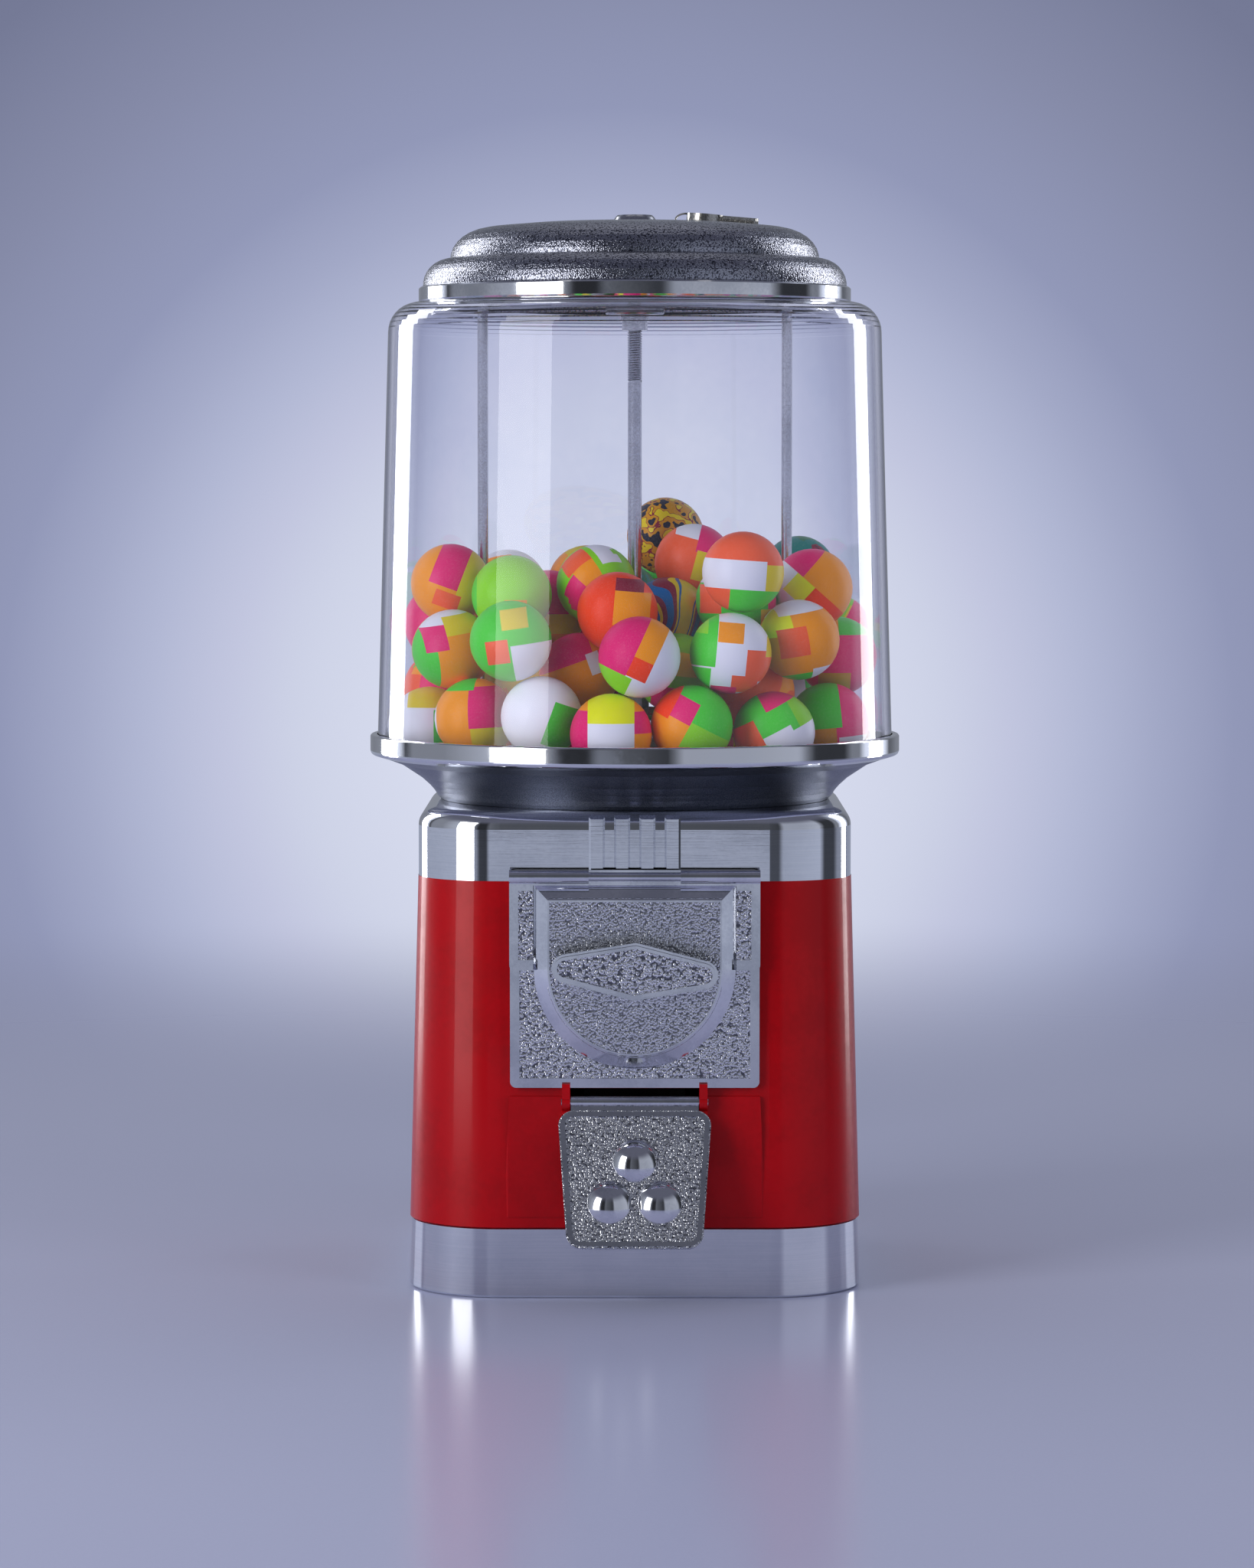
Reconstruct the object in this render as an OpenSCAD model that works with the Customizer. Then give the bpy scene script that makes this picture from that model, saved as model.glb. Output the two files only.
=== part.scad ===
// Bulk vending machine for bouncy balls: a cast cabinet with a coin mechanism
// and a hinged chute door, a hopper with a geared product wheel, and a clear
// globe under a two-tier lid. Millimetres, +Z up, front towards -Y, origin on
// the centre rod's axis at the base plate's underside.

/* [Base] */
// Half width of the base band where it stands on the floor
base_half = 90.2; // [88:0.1:94]
// Height of the base band
base_h = 27.8; // [20:0.1:36]
// How much narrower the base band is at its top
base_draft = 0.9; // [0:0.1:2]
// Wall of the base band
base_wall = 4; // [3:0.1:5]
// Thickness of the base plate
base_plate_t = 2.5; // [2:0.1:4]
// Spacing of the four stand bolts
stand_spacing = 110; // [90:1:120]
// Diameter of the stand bolt holes
stand_hole_d = 6.6; // [5:0.1:8]

/* [Cabinet] */
// Half width of the cabinet at its foot
body_half = 90; // [88:0.1:93]
// How much narrower each side is at the top
body_taper = 3.6; // [1:0.1:5]
// Height of the painted cabinet
body_h = 136.5; // [130:0.1:150]
// Corner radius at the foot of the cabinet
corner_r = 37; // [30:0.1:42]
// Wall of the cabinet
body_wall = 2.8; // [2:0.1:3.4]
// Height of the chrome top band with its deck
ring_h = 27.2; // [24:0.1:32]
// Radius of the top band's upper edge
ring_round = 7; // [4:0.1:9]
// Wall of the top band and its deck
ring_wall = 3; // [2.5:0.1:3.4]

/* [Coin guide] */
// Number of vertical ribs that guide the coin
rib_count = 4; // [3:1:5]
// Width of one rib
rib_w = 6.3; // [4:0.1:7]
// Spacing of the ribs
rib_pitch = 9.9; // [9:0.1:11]
// How far the ribs stand out from the top band
rib_depth = 2.4; // [1.5:0.1:3]

/* [Coin mechanism] */
// Width of the face plate
plate_w = 97.9; // [94:0.1:102]
// Height of the face plate
plate_h = 85.9; // [84:0.1:90]
// Thickness of the face plate
plate_t = 2.3; // [2:0.1:3]
// Smooth border round the textured field
border = 3.7; // [2.5:0.1:5]
// Depth of the textured field below its border
field_depth = 0.5; // [0.3:0.1:0.8]
// Height of the coin hood over the upper half of the plate
hood_h = 39.5; // [36:0.1:42]
// Thickness of the coin hood
hood_t = 1.6; // [1.2:0.1:2]
// Radius of the rolled edge along the hood's top
roll_r = 2.7; // [2:0.1:3.2]
// Width of the coin slot
slot_w = 36; // [30:0.1:38]
// Outer radius of the raised dial cover
dial_r = 39.6; // [37:0.1:41]
// Width of the dial cover's bevel
dial_bevel = 5.5; // [3:0.1:7]
// Height of the dial cover
dial_h = 3.8; // [2.5:0.1:5]
// Height of the dial cover's square top above the handle's axis
dial_top = 32.6; // [30:0.1:34]
// Length of the turning handle
handle_len = 65; // [60:0.1:68]
// Width of the handle across its middle
handle_w = 22.6; // [18:0.1:26]
// Radius of the handle's round ends
handle_end_r = 5.6; // [4:0.1:7]
// Thickness of the handle's bar
handle_t = 9; // [7:0.1:12]
// How far the handle rests turned from level, in degrees
handle_rest = 2.7; // [0:0.1:5]
// Diameter of the handle's shaft
shaft_d = 9; // [7:0.1:10]
// Radius of the coin carrier wheel
carrier_r = 33; // [31:0.1:34]
// Diameter of the coin that the carrier takes
coin_d = 24.5; // [18:0.1:26]

/* [Gear train] */
// Teeth of the drive gear on the handle's shaft
drive_teeth = 10; // [10:2:12]
// Teeth of the transfer gear, an even number
transfer_teeth = 22; // [20:2:24]
// Teeth of the crown ring under the product wheel
crown_teeth = 60; // [60:12:72]
// Pitch radius of the crown ring
crown_r = 67.75; // [66:0.05:68]
// Width of the gears' faces
gear_face = 7; // [5:0.1:8]
// Tooth thickness as a share of the pitch
tooth_share = 0.34; // [0.28:0.01:0.38]

/* [Hopper] */
// Wall of the hopper's spigot, outside its gear channel
spigot_wall = 3.2; // [2.5:0.1:4.6]
// Width of the hopper's rim outside the globe
rim_lip = 3.1; // [2.6:0.1:5]
// Height of the rim's top above the deck
rim_top = 26.5; // [24:0.1:30]
// Thickness of the hopper's floor
hopper_floor = 2.5; // [2:0.1:3.5]
// Height of the hopper's floor above the deck
floor_up = 2; // [1:0.1:3]

/* [Product wheel] */
// Radius of the product wheel
wheel_r = 72; // [71.5:0.1:72.5]
// Thickness of the product wheel
wheel_t = 19; // [15:0.1:22]
// Number of pockets
pockets = 6; // [5:1:6]
// Radius of the circle through the pockets' centres
pocket_pcd_r = 43; // [42:0.1:44]
// Clearance of a ball in its pocket, over the diameter
pocket_clear = 3; // [2:0.1:4]
// Radius of the post that the wheel turns on
post_r = 9; // [8:0.1:10]

/* [Balls] */
// Diameter of a bouncy ball
ball_d = 32; // [30:0.1:32]
// Balls dropped behind the lowest row
floor_fill = 12; // [5:1:14]
// Balls dropped behind the second row
middle_fill = 9; // [3:1:12]
// Balls dropped behind the third row
upper_fill = 6; // [0:1:8]
// Balls dropped on top
top_fill = 8; // [0:1:10]
// Turn of the spiral that the dropped balls follow
pile_turn = 11; // [1:1:60]

/* [Globe] */
// Outer radius of the globe at its foot
globe_r = 105; // [104:0.1:107]
// Outer radius of the globe at its shoulder
globe_top_r = 100.4; // [98:0.1:102]
// Height of the globe from its seat to the lid
globe_h = 180.8; // [160:0.1:200]
// Radius of the shoulder's curve
shoulder_r = 12; // [8:0.1:14]
// Wall of the globe
globe_wall = 2.6; // [2:0.1:3]
// Diameter of the centre rod
rod_d = 5.6; // [5:0.1:6]
// Diameter of the centre rod's threads
thread_d = 6; // [5.8:0.1:6.2]
// Length of the threads that show under the lid's collar
thread_show = 21; // [10:0.1:30]
// Distance of each tie rod from the axis
tie_x = 62; // [61.5:0.1:63]
// Diameter of a tie rod
tie_d = 4.3; // [3:0.1:4.5]

/* [Lid] */
// Radius of the smooth band round the lid
band_r = 87.9; // [86:0.1:90]
// Height of the band
band_h = 6; // [4:0.1:8]
// Radius of the lid's waist, where the upper tier starts
waist_r = 75; // [70:0.1:78]
// Height of the lower tier
tier1_h = 11.7; // [10:0.1:13]
// Height of the upper tier
tier2_h = 14.2; // [12:0.1:16]
// Thickness of the lid's shell
lid_wall = 2.4; // [2:0.1:3]
// Radius of the lock's collar at its foot
lock_r = 9.7; // [8:0.1:11]
// Height of the lock's collar above the lid
lock_h = 3.6; // [3:0.1:5]
// Radius of the lock housing under the lid
boss_r = 12; // [11:0.1:13]

/* [Chute] */
// Width of the chute inside
chute_w = 45.2; // [44:0.1:46]
// Wall of the chute
chute_wall = 2; // [1.6:0.1:2.4]
// Inside width of the gap between the door's ears
ear_gap = 50.7; // [50:0.1:52]
// Thickness of an ear
ear_t = 3.2; // [2.5:0.1:4]
// Height of the door's hinge above the floor
hinge_z = 77.8; // [75:0.1:79]
// Distance of the door's hinge in front of the axis
hinge_d = 92; // [91:0.1:93]
// Radius of the hinge pin
pin_r = 1.5; // [1.2:0.1:1.8]
// Lean of the closed door from upright, in degrees
door_lean = 24; // [20:0.1:26]
// Length of the door's plate
door_len = 55.6; // [52:0.1:57]
// Width of the door at its top
door_top_w = 59.8; // [58:0.1:62]
// Width of the door at its bottom
door_foot_w = 53.6; // [50:0.1:58]
// Thickness of the door's plate
door_t = 2.5; // [2:0.1:2.8]
// Width of the door's raised rim
rim_w = 2.5; // [1.5:0.1:3.5]

/* [Hidden] */
$fn = 72;
play = 0.05;
gap = 0.3;
eps = 0.01;

CHROME = [0.80, 0.80, 0.82];
CAST = [0.66, 0.66, 0.69];
SATIN = [0.42, 0.43, 0.46];
RED = [0.70, 0.02, 0.04];
STEEL = [0.62, 0.62, 0.64];
BRASS = [0.72, 0.56, 0.28];
BLACK = [0.10, 0.10, 0.11];
IVORY = [0.88, 0.86, 0.80];

// Levels from the floor up
corner_c = body_half - corner_r;
base_cup_z = base_plate_t + 6.5;
body_z0 = base_h;
body_z1 = base_h + body_h;
deck_z = body_z1 + ring_h;
body_top_half = body_half - body_taper;
ring_half = body_top_half - 0.2;
ring_front = ring_half;

// Gear train, built down from the crown ring's pitch plane
gear_m = 2 * crown_r / crown_teeth;
pitch = PI * gear_m;
crown_z = deck_z - 0.1;
transfer_r = gear_m * transfer_teeth / 2;
drive_r = gear_m * drive_teeth / 2;
transfer_z = crown_z - transfer_r;
shaft_z = transfer_z - transfer_r - drive_r;
gear_d0 = crown_r - gear_face / 2;
gear_d1 = crown_r + gear_face / 2;
addendum = 0.8 * gear_m;
dedendum = 1.05 * gear_m;

// Top of the chute's inlet, under the hopper's gear channel
channel_z = crown_z - addendum - 1.6;
chute_top_z = channel_z - hopper_floor - 0.3;

// Depths in front of the axis, from the mechanism's back plate to its face
back_d0 = gear_d0 - 7.2;
back_t = 3;
ratchet_d0 = gear_d1 + 3;
ratchet_t = 3;
carrier_d0 = ratchet_d0 + ratchet_t + 1;
carrier_t = 7;
bridge_d0 = ratchet_d0 - 0.6;
bridge_t = 3;
back_z1 = chute_top_z - 25.6;
plate_d0 = body_half - 1.3;
plate_d1 = plate_d0 + plate_t;
dial_d1 = plate_d1 + dial_h;
handle_d0 = dial_d1 + 2.2;
plate_z1 = shaft_z + 38.8;
plate_z0 = plate_z1 - plate_h;
house_half = 39.5;
house_z0 = plate_z0 + 3.4;
house_z1 = body_z1 - 0.8;
window_half = house_half + 1.3;

// Hopper and product wheel
floor_z = deck_z + floor_up;
wheel_z0 = floor_z + 0.4;
wheel_z1 = wheel_z0 + wheel_t;
pocket_r = (ball_d + pocket_clear) / 2;
guard_z = floor_z + ball_d + 0.7;
guard_t = 2;
drop_d = pocket_pcd_r;
rim_z = deck_z + rim_top;
globe_z0 = rim_z - 5.5;
channel_in = crown_r - gear_face / 2 - 1.7;
channel_out = wheel_r + 1.4;
seat_r = channel_out + spigot_wall;
rim_r = globe_r + rim_lip;
rim_reach = rim_r - seat_r;
lug_z0 = wheel_z1 + 1.3;
lug_t = 5;
lug_w = 10;

// Globe and lid
neck_z = globe_z0 + globe_h;
neck_r = globe_top_r - shoulder_r;
throat_r = band_r - 4.4;
waist_z = neck_z + band_h + tier1_h;
lid_z1 = waist_z + tier2_h;
collar_z1 = neck_z - 5.2;
collar_h = 6;
tie_z1 = neck_z + 4;

// Chute
chute_in_d = 36;
shaft_half = 20.2;
spout_half = chute_w / 2 + chute_wall;
chute_floor_z = hinge_z - 22;
window_z1 = plate_z0 - 0.4;
lean_sin = sin(door_lean);
lean_cos = cos(door_lean);
door_v0 = 3.9;
door_n1 = 2.1;
door_n0 = door_n1 - door_t;

/* ---------- shared shapes ---------- */

// A wall profile swept round a rounded square; x counts from the corner centres
module square_sweep(c) {
    for (k = [0:3]) rotate(90 * k) {
        translate([c, 0, 0]) rotate([90, 0, 0]) linear_extrude(height = 2 * c, center = true) children();
        translate([c, c, 0]) rotate_extrude(angle = 90) children();
    }
}

// A rounded rectangle with exact corner arcs
module rounded_rect(w, h, r) {
    square([w - 2 * r, h], center = true);
    square([w, h - 2 * r], center = true);
    for (x = [-1, 1], y = [-1, 1]) translate([x * (w / 2 - r), y * (h / 2 - r)]) circle(r);
}

// Stands an XZ outline up, from one depth in front of the axis to another
module stand(d0, d1) {
    translate([0, -d0, 0]) rotate([90, 0, 0]) linear_extrude(d1 - d0) children();
}

// Extrudes a side outline, drawn as depth and height, across the machine
module across(half) {
    rotate([90, 0, -90]) linear_extrude(height = 2 * half, center = true) children();
}

// A round bar along the depth, centred at a height
module bar(d0, d1, r, z = shaft_z, x = 0) {
    translate([x, -d0, z]) rotate([90, 0, 0]) cylinder(r = r, h = d1 - d0);
}

// One tooth's outline, from the root circle out, pointing along +Y
module tooth(r) {
    half = pitch * tooth_share / 2;
    flank = tan(18);
    polygon([
        [-half - dedendum * flank, r - dedendum - 0.8],
        [-half - dedendum * flank, r - dedendum],
        [-half + addendum * flank, r + addendum],
        [half - addendum * flank, r + addendum],
        [half + dedendum * flank, r - dedendum],
        [half + dedendum * flank, r - dedendum - 0.8]
    ]);
}

// A spur gear, with a tooth or a gap at the top
module spur(n, r, turn = 0) {
    circle(r - dedendum);
    for (k = [0:n - 1]) rotate(turn + 360 * k / n) tooth(r);
}

/* ---------- base ---------- */

module base_ring() color(CHROME) {
    out = base_half - corner_c;
    difference() {
        square_sweep(corner_c) union() {
            polygon([
                [out - base_wall, 0], [out - 0.8, 0], [out, 0.8], [out - base_draft, base_h - 0.8],
                [out - base_draft - 0.8, base_h], [out - base_wall, base_h]
            ]);
            // ledge that carries the base plate, and lip inside the cabinet's foot
            translate([out - base_wall - 3, base_plate_t]) square([3 + eps, 3]);
            translate([out - base_wall - 2.2, base_plate_t + 3]) square([2.2 + eps, base_h + 1]);
        }
        spout_notch();
    }
}

// Room for the chute's spout through the walls above the base band
module spout_notch() {
    translate([-spout_half - 1, -body_half - 3, base_h]) cube([2 * spout_half + 2, 24, 14]);
}

module base_plate() color(STEEL) {
    half = base_half - base_wall - 0.2;
    difference() {
        union() {
            difference() {
                linear_extrude(base_plate_t) rounded_rect(2 * half, 2 * half, half - corner_c);
                translate([0, 0, -1]) cylinder(r = 14, h = base_plate_t + 2);
            }
            rotate_extrude() polygon([
                [thread_d / 2 + 0.3, base_cup_z - 2.5], [13, base_cup_z - 2.5],
                [14, base_cup_z - 3.5], [14, 0],
                [16.5, 0], [16.5, base_cup_z - 2], [14.5, base_cup_z], [thread_d / 2 + 0.3, base_cup_z]
            ]);
        }
        for (x = [-1, 1], y = [-1, 1]) translate([x, y, 0] * stand_spacing / 2 - [0, 0, 1])
            cylinder(d = stand_hole_d, h = base_plate_t + 2);
    }
}

module hex_nut(z, h, across_flats, bore) {
    translate([0, 0, z]) difference() {
        cylinder(d = across_flats / cos(30), h = h, $fn = 6);
        translate([0, 0, -1]) cylinder(d = bore, h = h + 2);
    }
}

module base_nut() color(STEEL) {
    hex_nut(base_cup_z - 8.4, 4.6, 10, thread_d + 2 * play);
    translate([0, 0, base_cup_z - 3.75]) difference() {
        cylinder(r = 8, h = 1.2);
        translate([0, 0, -1]) cylinder(d = thread_d + 0.4, h = 4);
    }
}

/* ---------- cabinet ---------- */

module body_shell() color(RED) {
    out = body_half - corner_c;
    difference() {
        union() {
            square_sweep(corner_c) polygon([
                [out, body_z0], [out - body_taper, body_z1],
                [out - body_taper - body_wall, body_z1], [out - body_wall, body_z0]
            ]);
            cabinet_pad();
            cabinet_apron();
        }
        translate([-window_half, -body_half - 5, house_z0 - 1.2]) cube([2 * window_half, 30, body_h]);
        translate([-ear_gap / 2, -body_half - 5, body_z0 - 1]) cube([ear_gap, 30, window_z1 - body_z0 + 1]);
        for (x = [-1, 1], z = screw_levels()) bar(body_half - 20, body_half + 5, 2.3, z, x * screw_x());
    }
    for (x = [-1, 1]) translate([x * (ear_gap + ear_t) / 2, 0, 0]) across(ear_t / 2) ear_outline();
}

// Upright pad that the coin mechanism bolts against
module cabinet_pad() {
    stand(body_top_half - body_wall + 0.4, plate_d0) translate([0, (plate_z0 + body_z1) / 2])
        square([plate_w - 0.6, body_z1 - plate_z0], center = true);
}

// Raised apron under the pad; it runs out into the tapering wall at its foot
module cabinet_apron() {
    z0 = body_z0 + 4.2;
    z1 = plate_z0 - 3.6;
    half0 = 51.5;
    half1 = 49.3;
    face = body_half + 0.3;
    intersection() {
        stand(body_top_half, face) polygon([[-half0, z0], [half0, z0], [half1, z1], [-half1, z1]]);
        linear_extrude(z1) polygon([
            [-half0, -body_top_half + 1], [-half0, -face + 1.6], [-half0 + 1.6, -face],
            [half0 - 1.6, -face], [half0, -face + 1.6], [half0, -body_top_half + 1]
        ]);
    }
}

// Side outline of the ears that hold the door's pin
module ear_outline() {
    difference() {
        union() {
            difference() {
                polygon([
                    [body_half - 4.5, hinge_z - 19], [body_half, hinge_z - 17], [hinge_d + 3.3, hinge_z - 8],
                    [hinge_d + 3.3, hinge_z + 5.8], [hinge_d + 2.2, hinge_z + 7.3],
                    [plate_d1 + 0.3, hinge_z + 7.3], [plate_d1 + 0.3, window_z1],
                    [body_half - 4.5, window_z1]
                ]);
                translate([hinge_d, hinge_z]) rotate(door_lean)
                    translate([door_n0 - 0.35, -40]) square([20, 40]);
            }
            translate([hinge_d, hinge_z]) circle(3.3);
        }
        translate([hinge_d, hinge_z]) circle(pin_r + play);
    }
}

function screw_x() = 44.5;
function screw_levels() = [house_z0 + 6, house_z1 - 9];

/* ---------- top band ---------- */

module top_ring() color(CHROME) {
    out = ring_half - corner_c;
    lip = out - body_wall - 0.5;
    difference() {
        union() {
            square_sweep(corner_c) union() {
                difference() {
                    union() {
                        translate([0, body_z1]) square([out, ring_h - ring_round]);
                        translate([0, body_z1]) square([out - ring_round, ring_h]);
                        translate([out - ring_round, deck_z - ring_round]) circle(ring_round);
                    }
                    translate([-1, body_z1 - 1]) square([out - ring_wall + 1, ring_h - ring_wall + 1]);
                    translate([-50, body_z1 - 10]) square([50, 60]);
                }
                translate([lip - 2.2, body_z1 - 3.5]) square([2.2, 3.5 + eps]);
                translate([lip - 2.2, body_z1]) square([out - lip + 1, 2]);
            }
            translate([0, 0, deck_z - ring_wall / 2])
                cube([2 * corner_c + 2 * eps, 2 * corner_c + 2 * eps, ring_wall], center = true);
            coin_ribs();
        }
        translate([0, 0, deck_z - 20]) cylinder(r = seat_r + 0.2, h = 40);
        translate([-window_half, -ring_half + ring_wall, body_z1 - 5]) cube([2 * window_half, 12, 11]);
        translate([-window_half, -ring_half - 5, body_z1 - 5]) cube([2 * window_half, 20, 5]);
    }
}

// Ribs down the front of the band; the coin slides between them and the hood
module coin_ribs() {
    first = -(rib_count - 1) / 2 * rib_pitch;
    z0 = body_z1 + 1;
    z1 = deck_z - 1.1;
    for (k = [0:rib_count - 1]) translate([first + k * rib_pitch, 0, 0]) intersection() {
        translate([-rib_w / 2, -ring_front - rib_depth, z0]) cube([rib_w, rib_depth + ring_round, z1 - z0]);
        linear_extrude(z1 + 1) polygon([
            [-rib_w / 2, -ring_front + ring_round], [-rib_w / 2, -ring_front - rib_depth + 0.8],
            [-rib_w / 2 + 0.8, -ring_front - rib_depth], [rib_w / 2 - 0.8, -ring_front - rib_depth],
            [rib_w / 2, -ring_front - rib_depth + 0.8], [rib_w / 2, -ring_front + ring_round]
        ]);
        across(rib_w) polygon([
            [ring_front - ring_round, z0], [ring_front + rib_depth, z0], [ring_front + rib_depth, z1 - 1.6],
            [ring_front + rib_depth - 1.6, z1], [ring_front - ring_round, z1]
        ]);
    }
}

/* ---------- coin mechanism, outside ---------- */

module mech_plate() color(CAST) {
    mid = (plate_z0 + plate_z1) / 2;
    difference() {
        stand(plate_d0, plate_d1) translate([0, mid]) rounded_rect(plate_w, plate_h, 2.4);
        stand(plate_d1 - field_depth, plate_d1 + 1) translate([0, mid])
            square([plate_w - 2 * border, plate_h - 2 * border], center = true);
        bar(plate_d0 - 1, plate_d1 + 1, shaft_d / 2 + 0.4);
        // the coin drops through here, behind the hood, into the carrier
        translate([-slot_w / 2, -plate_d1 - 1, shaft_z + 14]) cube([slot_w, plate_t + 2, 50]);
        for (x = [-1, 1], z = screw_levels()) bar(plate_d0 - 1, plate_d0 + 1.6, 1.95, z, x * screw_x());
    }
}

module coin_hood() color(CAST) {
    z0 = plate_z1 - hood_h;
    mid = (z0 + plate_z1) / 2;
    roll_z = plate_z1 - roll_r;
    roll_d = plate_d1 + hood_t;
    inset = 4.1;
    panel_w = plate_w / 2 - border - dial_r;
    difference() {
        union() {
            stand(plate_d1, plate_d1 + hood_t) translate([0, mid]) rounded_rect(plate_w + 0.4, hood_h, 2);
            difference() {
                translate([0, -roll_d, roll_z]) rotate([0, 90, 0])
                    cylinder(r = roll_r, h = plate_w + 0.4, center = true);
                translate([-plate_w, -plate_d1, plate_z0]) cube([2 * plate_w, 30, 200]);
                translate([-slot_w / 2, -roll_d - 5, roll_z - 5]) cube([slot_w, 10, 10]);
            }
            // lower roll behind the notch where the coin goes in
            difference() {
                translate([0, -roll_d + 0.2, roll_z]) rotate([0, 90, 0])
                    cylinder(r = roll_r - 0.9, h = slot_w + 1, center = true);
                translate([-plate_w, -plate_d1, plate_z0]) cube([2 * plate_w, 30, 200]);
            }
        }
        stand(plate_d1 - 1, plate_d1 + 10) d_outline(dial_r + 0.2, dial_top + 0.1);
        // window of the coin slot under the roll
        translate([-slot_w / 2, -roll_d - 1, plate_z1 - 2 * roll_r - 2.4]) cube([slot_w, 1.9, 2.6]);
        // textured side panels
        for (x = [-1, 1]) translate([x * (dial_r + 0.2 + panel_w / 2), 0, 0])
            stand(roll_d - field_depth, roll_d + 1) translate([0, z0 + inset + 13.6])
                square([panel_w + 0.4, 27.2], center = true);
    }
}

// Outline with a round foot and a square top, about the handle's axis
module d_outline(r, top) {
    translate([0, shaft_z]) {
        intersection() {
            circle(r);
            translate([-r - 1, -r - 1]) square([2 * r + 2, r + 1]);
        }
        translate([-r, 0]) square([2 * r, top]);
    }
}

// Raised D-shaped cover behind the handle, with a broad bevel round it
module dial_cover() color(CAST) {
    top = dial_top;
    difference() {
        union() {
            intersection() {
                translate([0, -plate_d1, shaft_z]) rotate([90, 0, 0])
                    cylinder(r1 = dial_r, r2 = dial_r - dial_bevel, h = dial_h);
                translate([-100, -dial_d1 - 1, shaft_z - 100]) cube([200, dial_h + 2, 100]);
            }
            intersection() {
                translate([0, 0, shaft_z]) linear_extrude(top) polygon([
                    [-dial_r, -plate_d1], [dial_r, -plate_d1],
                    [dial_r - dial_bevel, -dial_d1], [-dial_r + dial_bevel, -dial_d1]
                ]);
                across(dial_r + 1) polygon([
                    [plate_d1, shaft_z], [dial_d1, shaft_z],
                    [dial_d1, shaft_z + top - dial_bevel], [plate_d1, shaft_z + top]
                ]);
            }
        }
        stand(dial_d1 - field_depth, dial_d1 + 1)
            d_outline(dial_r - dial_bevel - 0.7, top - dial_bevel - 0.7);
        bar(plate_d1 - 1, dial_d1 + 1, shaft_d / 2 + 0.4);
    }
}

// Outline of the handle's bar, a long hexagon with round ends
module handle_outline(inset = 0) {
    end_x = handle_len / 2 - handle_end_r;
    hull() {
        for (x = [-1, 1]) translate([x * end_x, 0]) circle(handle_end_r - inset, $fn = 48);
        for (z = [-1, 1]) translate([0, z * (handle_w / 2 - 3)]) circle(3 - inset, $fn = 48);
    }
}

module handle() color(CAST) {
    d1 = handle_d0 + handle_t;
    translate([0, 0, shaft_z]) rotate([0, handle_rest, 0]) translate([0, 0, -shaft_z]) difference() {
        union() {
            stand(handle_d0 + 1.2, d1 - 1.2) translate([0, shaft_z]) handle_outline();
            stand(handle_d0, d1) translate([0, shaft_z]) handle_outline(1);
            bar(dial_d1 - field_depth + 0.3, handle_d0 + 0.1, 9.5);
        }
        stand(d1 - field_depth, d1 + 1) translate([0, shaft_z]) handle_outline(2.2);
        bar(dial_d1 - 2, handle_d0 + handle_t - 2.5, shaft_d / 2 + play);
    }
}

/* ---------- coin mechanism, inside ---------- */

module mech_housing() color(SATIN) {
    front = plate_d0 - 0.4;
    bridge_z = ratchet_top() + 1.4;
    difference() {
        union() {
            stand(back_d0, back_d0 + back_t) translate([-house_half, house_z0])
                square([2 * house_half, back_z1 - house_z0]);
            for (x = [-1, 1]) translate([x * (house_half - 1) - 1, -front, house_z0])
                cube([2, front - back_d0, house_z1 - house_z0]);
            for (x = [-1, 1], z = screw_levels())
                translate([x * (house_half + 4) - 4.5, -body_top_half + 6, z - 6]) cube([9, 2.5, 12]);
            bar(back_d0 + back_t - 0.1, ratchet_d0 + ratchet_t / 2, 4.5, pawl_z(), pawl_x());
            // bridge in front of the transfer gear, with a boss for its axle
            stand(bridge_d0, bridge_d0 + bridge_t) {
                translate([-house_half, bridge_z]) square([2 * house_half, house_z1 - bridge_z]);
                translate([0, transfer_z]) circle(7);
            }
        }
        bar(back_d0 - 1, back_d0 + 6, bush_r());
        bar(bridge_d0 - 1, bridge_d0 + 6, axle_r() + play, transfer_z);
        bar(back_d0 - 1, ratchet_d0 + ratchet_t, 1.5 + play, pawl_z(), pawl_x());
        bar(ratchet_d0 - 0.4, plate_d0, 4.6, pawl_z(), pawl_x());
        for (x = [-1, 1], z = screw_levels()) bar(body_top_half - 10, body_top_half, 2.2, z, x * screw_x());
    }
}

function ratchet_r() = 24;
function ratchet_top() = shaft_z + ratchet_r();
function bush_r() = shaft_d / 2 + 2.5;
function axle_r() = 3;
function pawl_x() = 30;
function pawl_z() = shaft_z + 17;

module shaft_bush() color(BRASS) {
    difference() {
        union() {
            bar(back_d0 + 0.2, back_d0 + back_t + 0.1, bush_r() - play);
            bar(back_d0 + back_t, back_d0 + back_t + 1.2, bush_r() + 2);
        }
        bar(back_d0 - 10, back_d0 + 10, shaft_d / 2 + play);
    }
}

module handle_shaft() color(STEEL) {
    bar(back_d0 + 0.3, handle_d0 + handle_t - 2.7, shaft_d / 2);
}

module coin_carrier() color(STEEL) {
    d1 = carrier_d0 + carrier_t;
    difference() {
        union() {
            bar(carrier_d0, d1, carrier_r);
            bar(d1 - 0.1, plate_d0 - 0.5, 8);
        }
        bar(carrier_d0 - 1, plate_d0, shaft_d / 2 + play);
        // pocket for one coin, open at the wheel's edge
        stand(d1 - 2.6, d1 + 1) {
            translate([0, shaft_z + carrier_r - coin_d / 2 + 3]) circle(d = coin_d);
            translate([-coin_d / 2, shaft_z + carrier_r - coin_d / 2 + 3]) square([coin_d, 20]);
        }
        for (a = [90:90:270]) translate([0, 0, shaft_z]) rotate([0, a, 0]) bar(carrier_d0 - 1, d1 + 1, 5, 20);
    }
}

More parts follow.
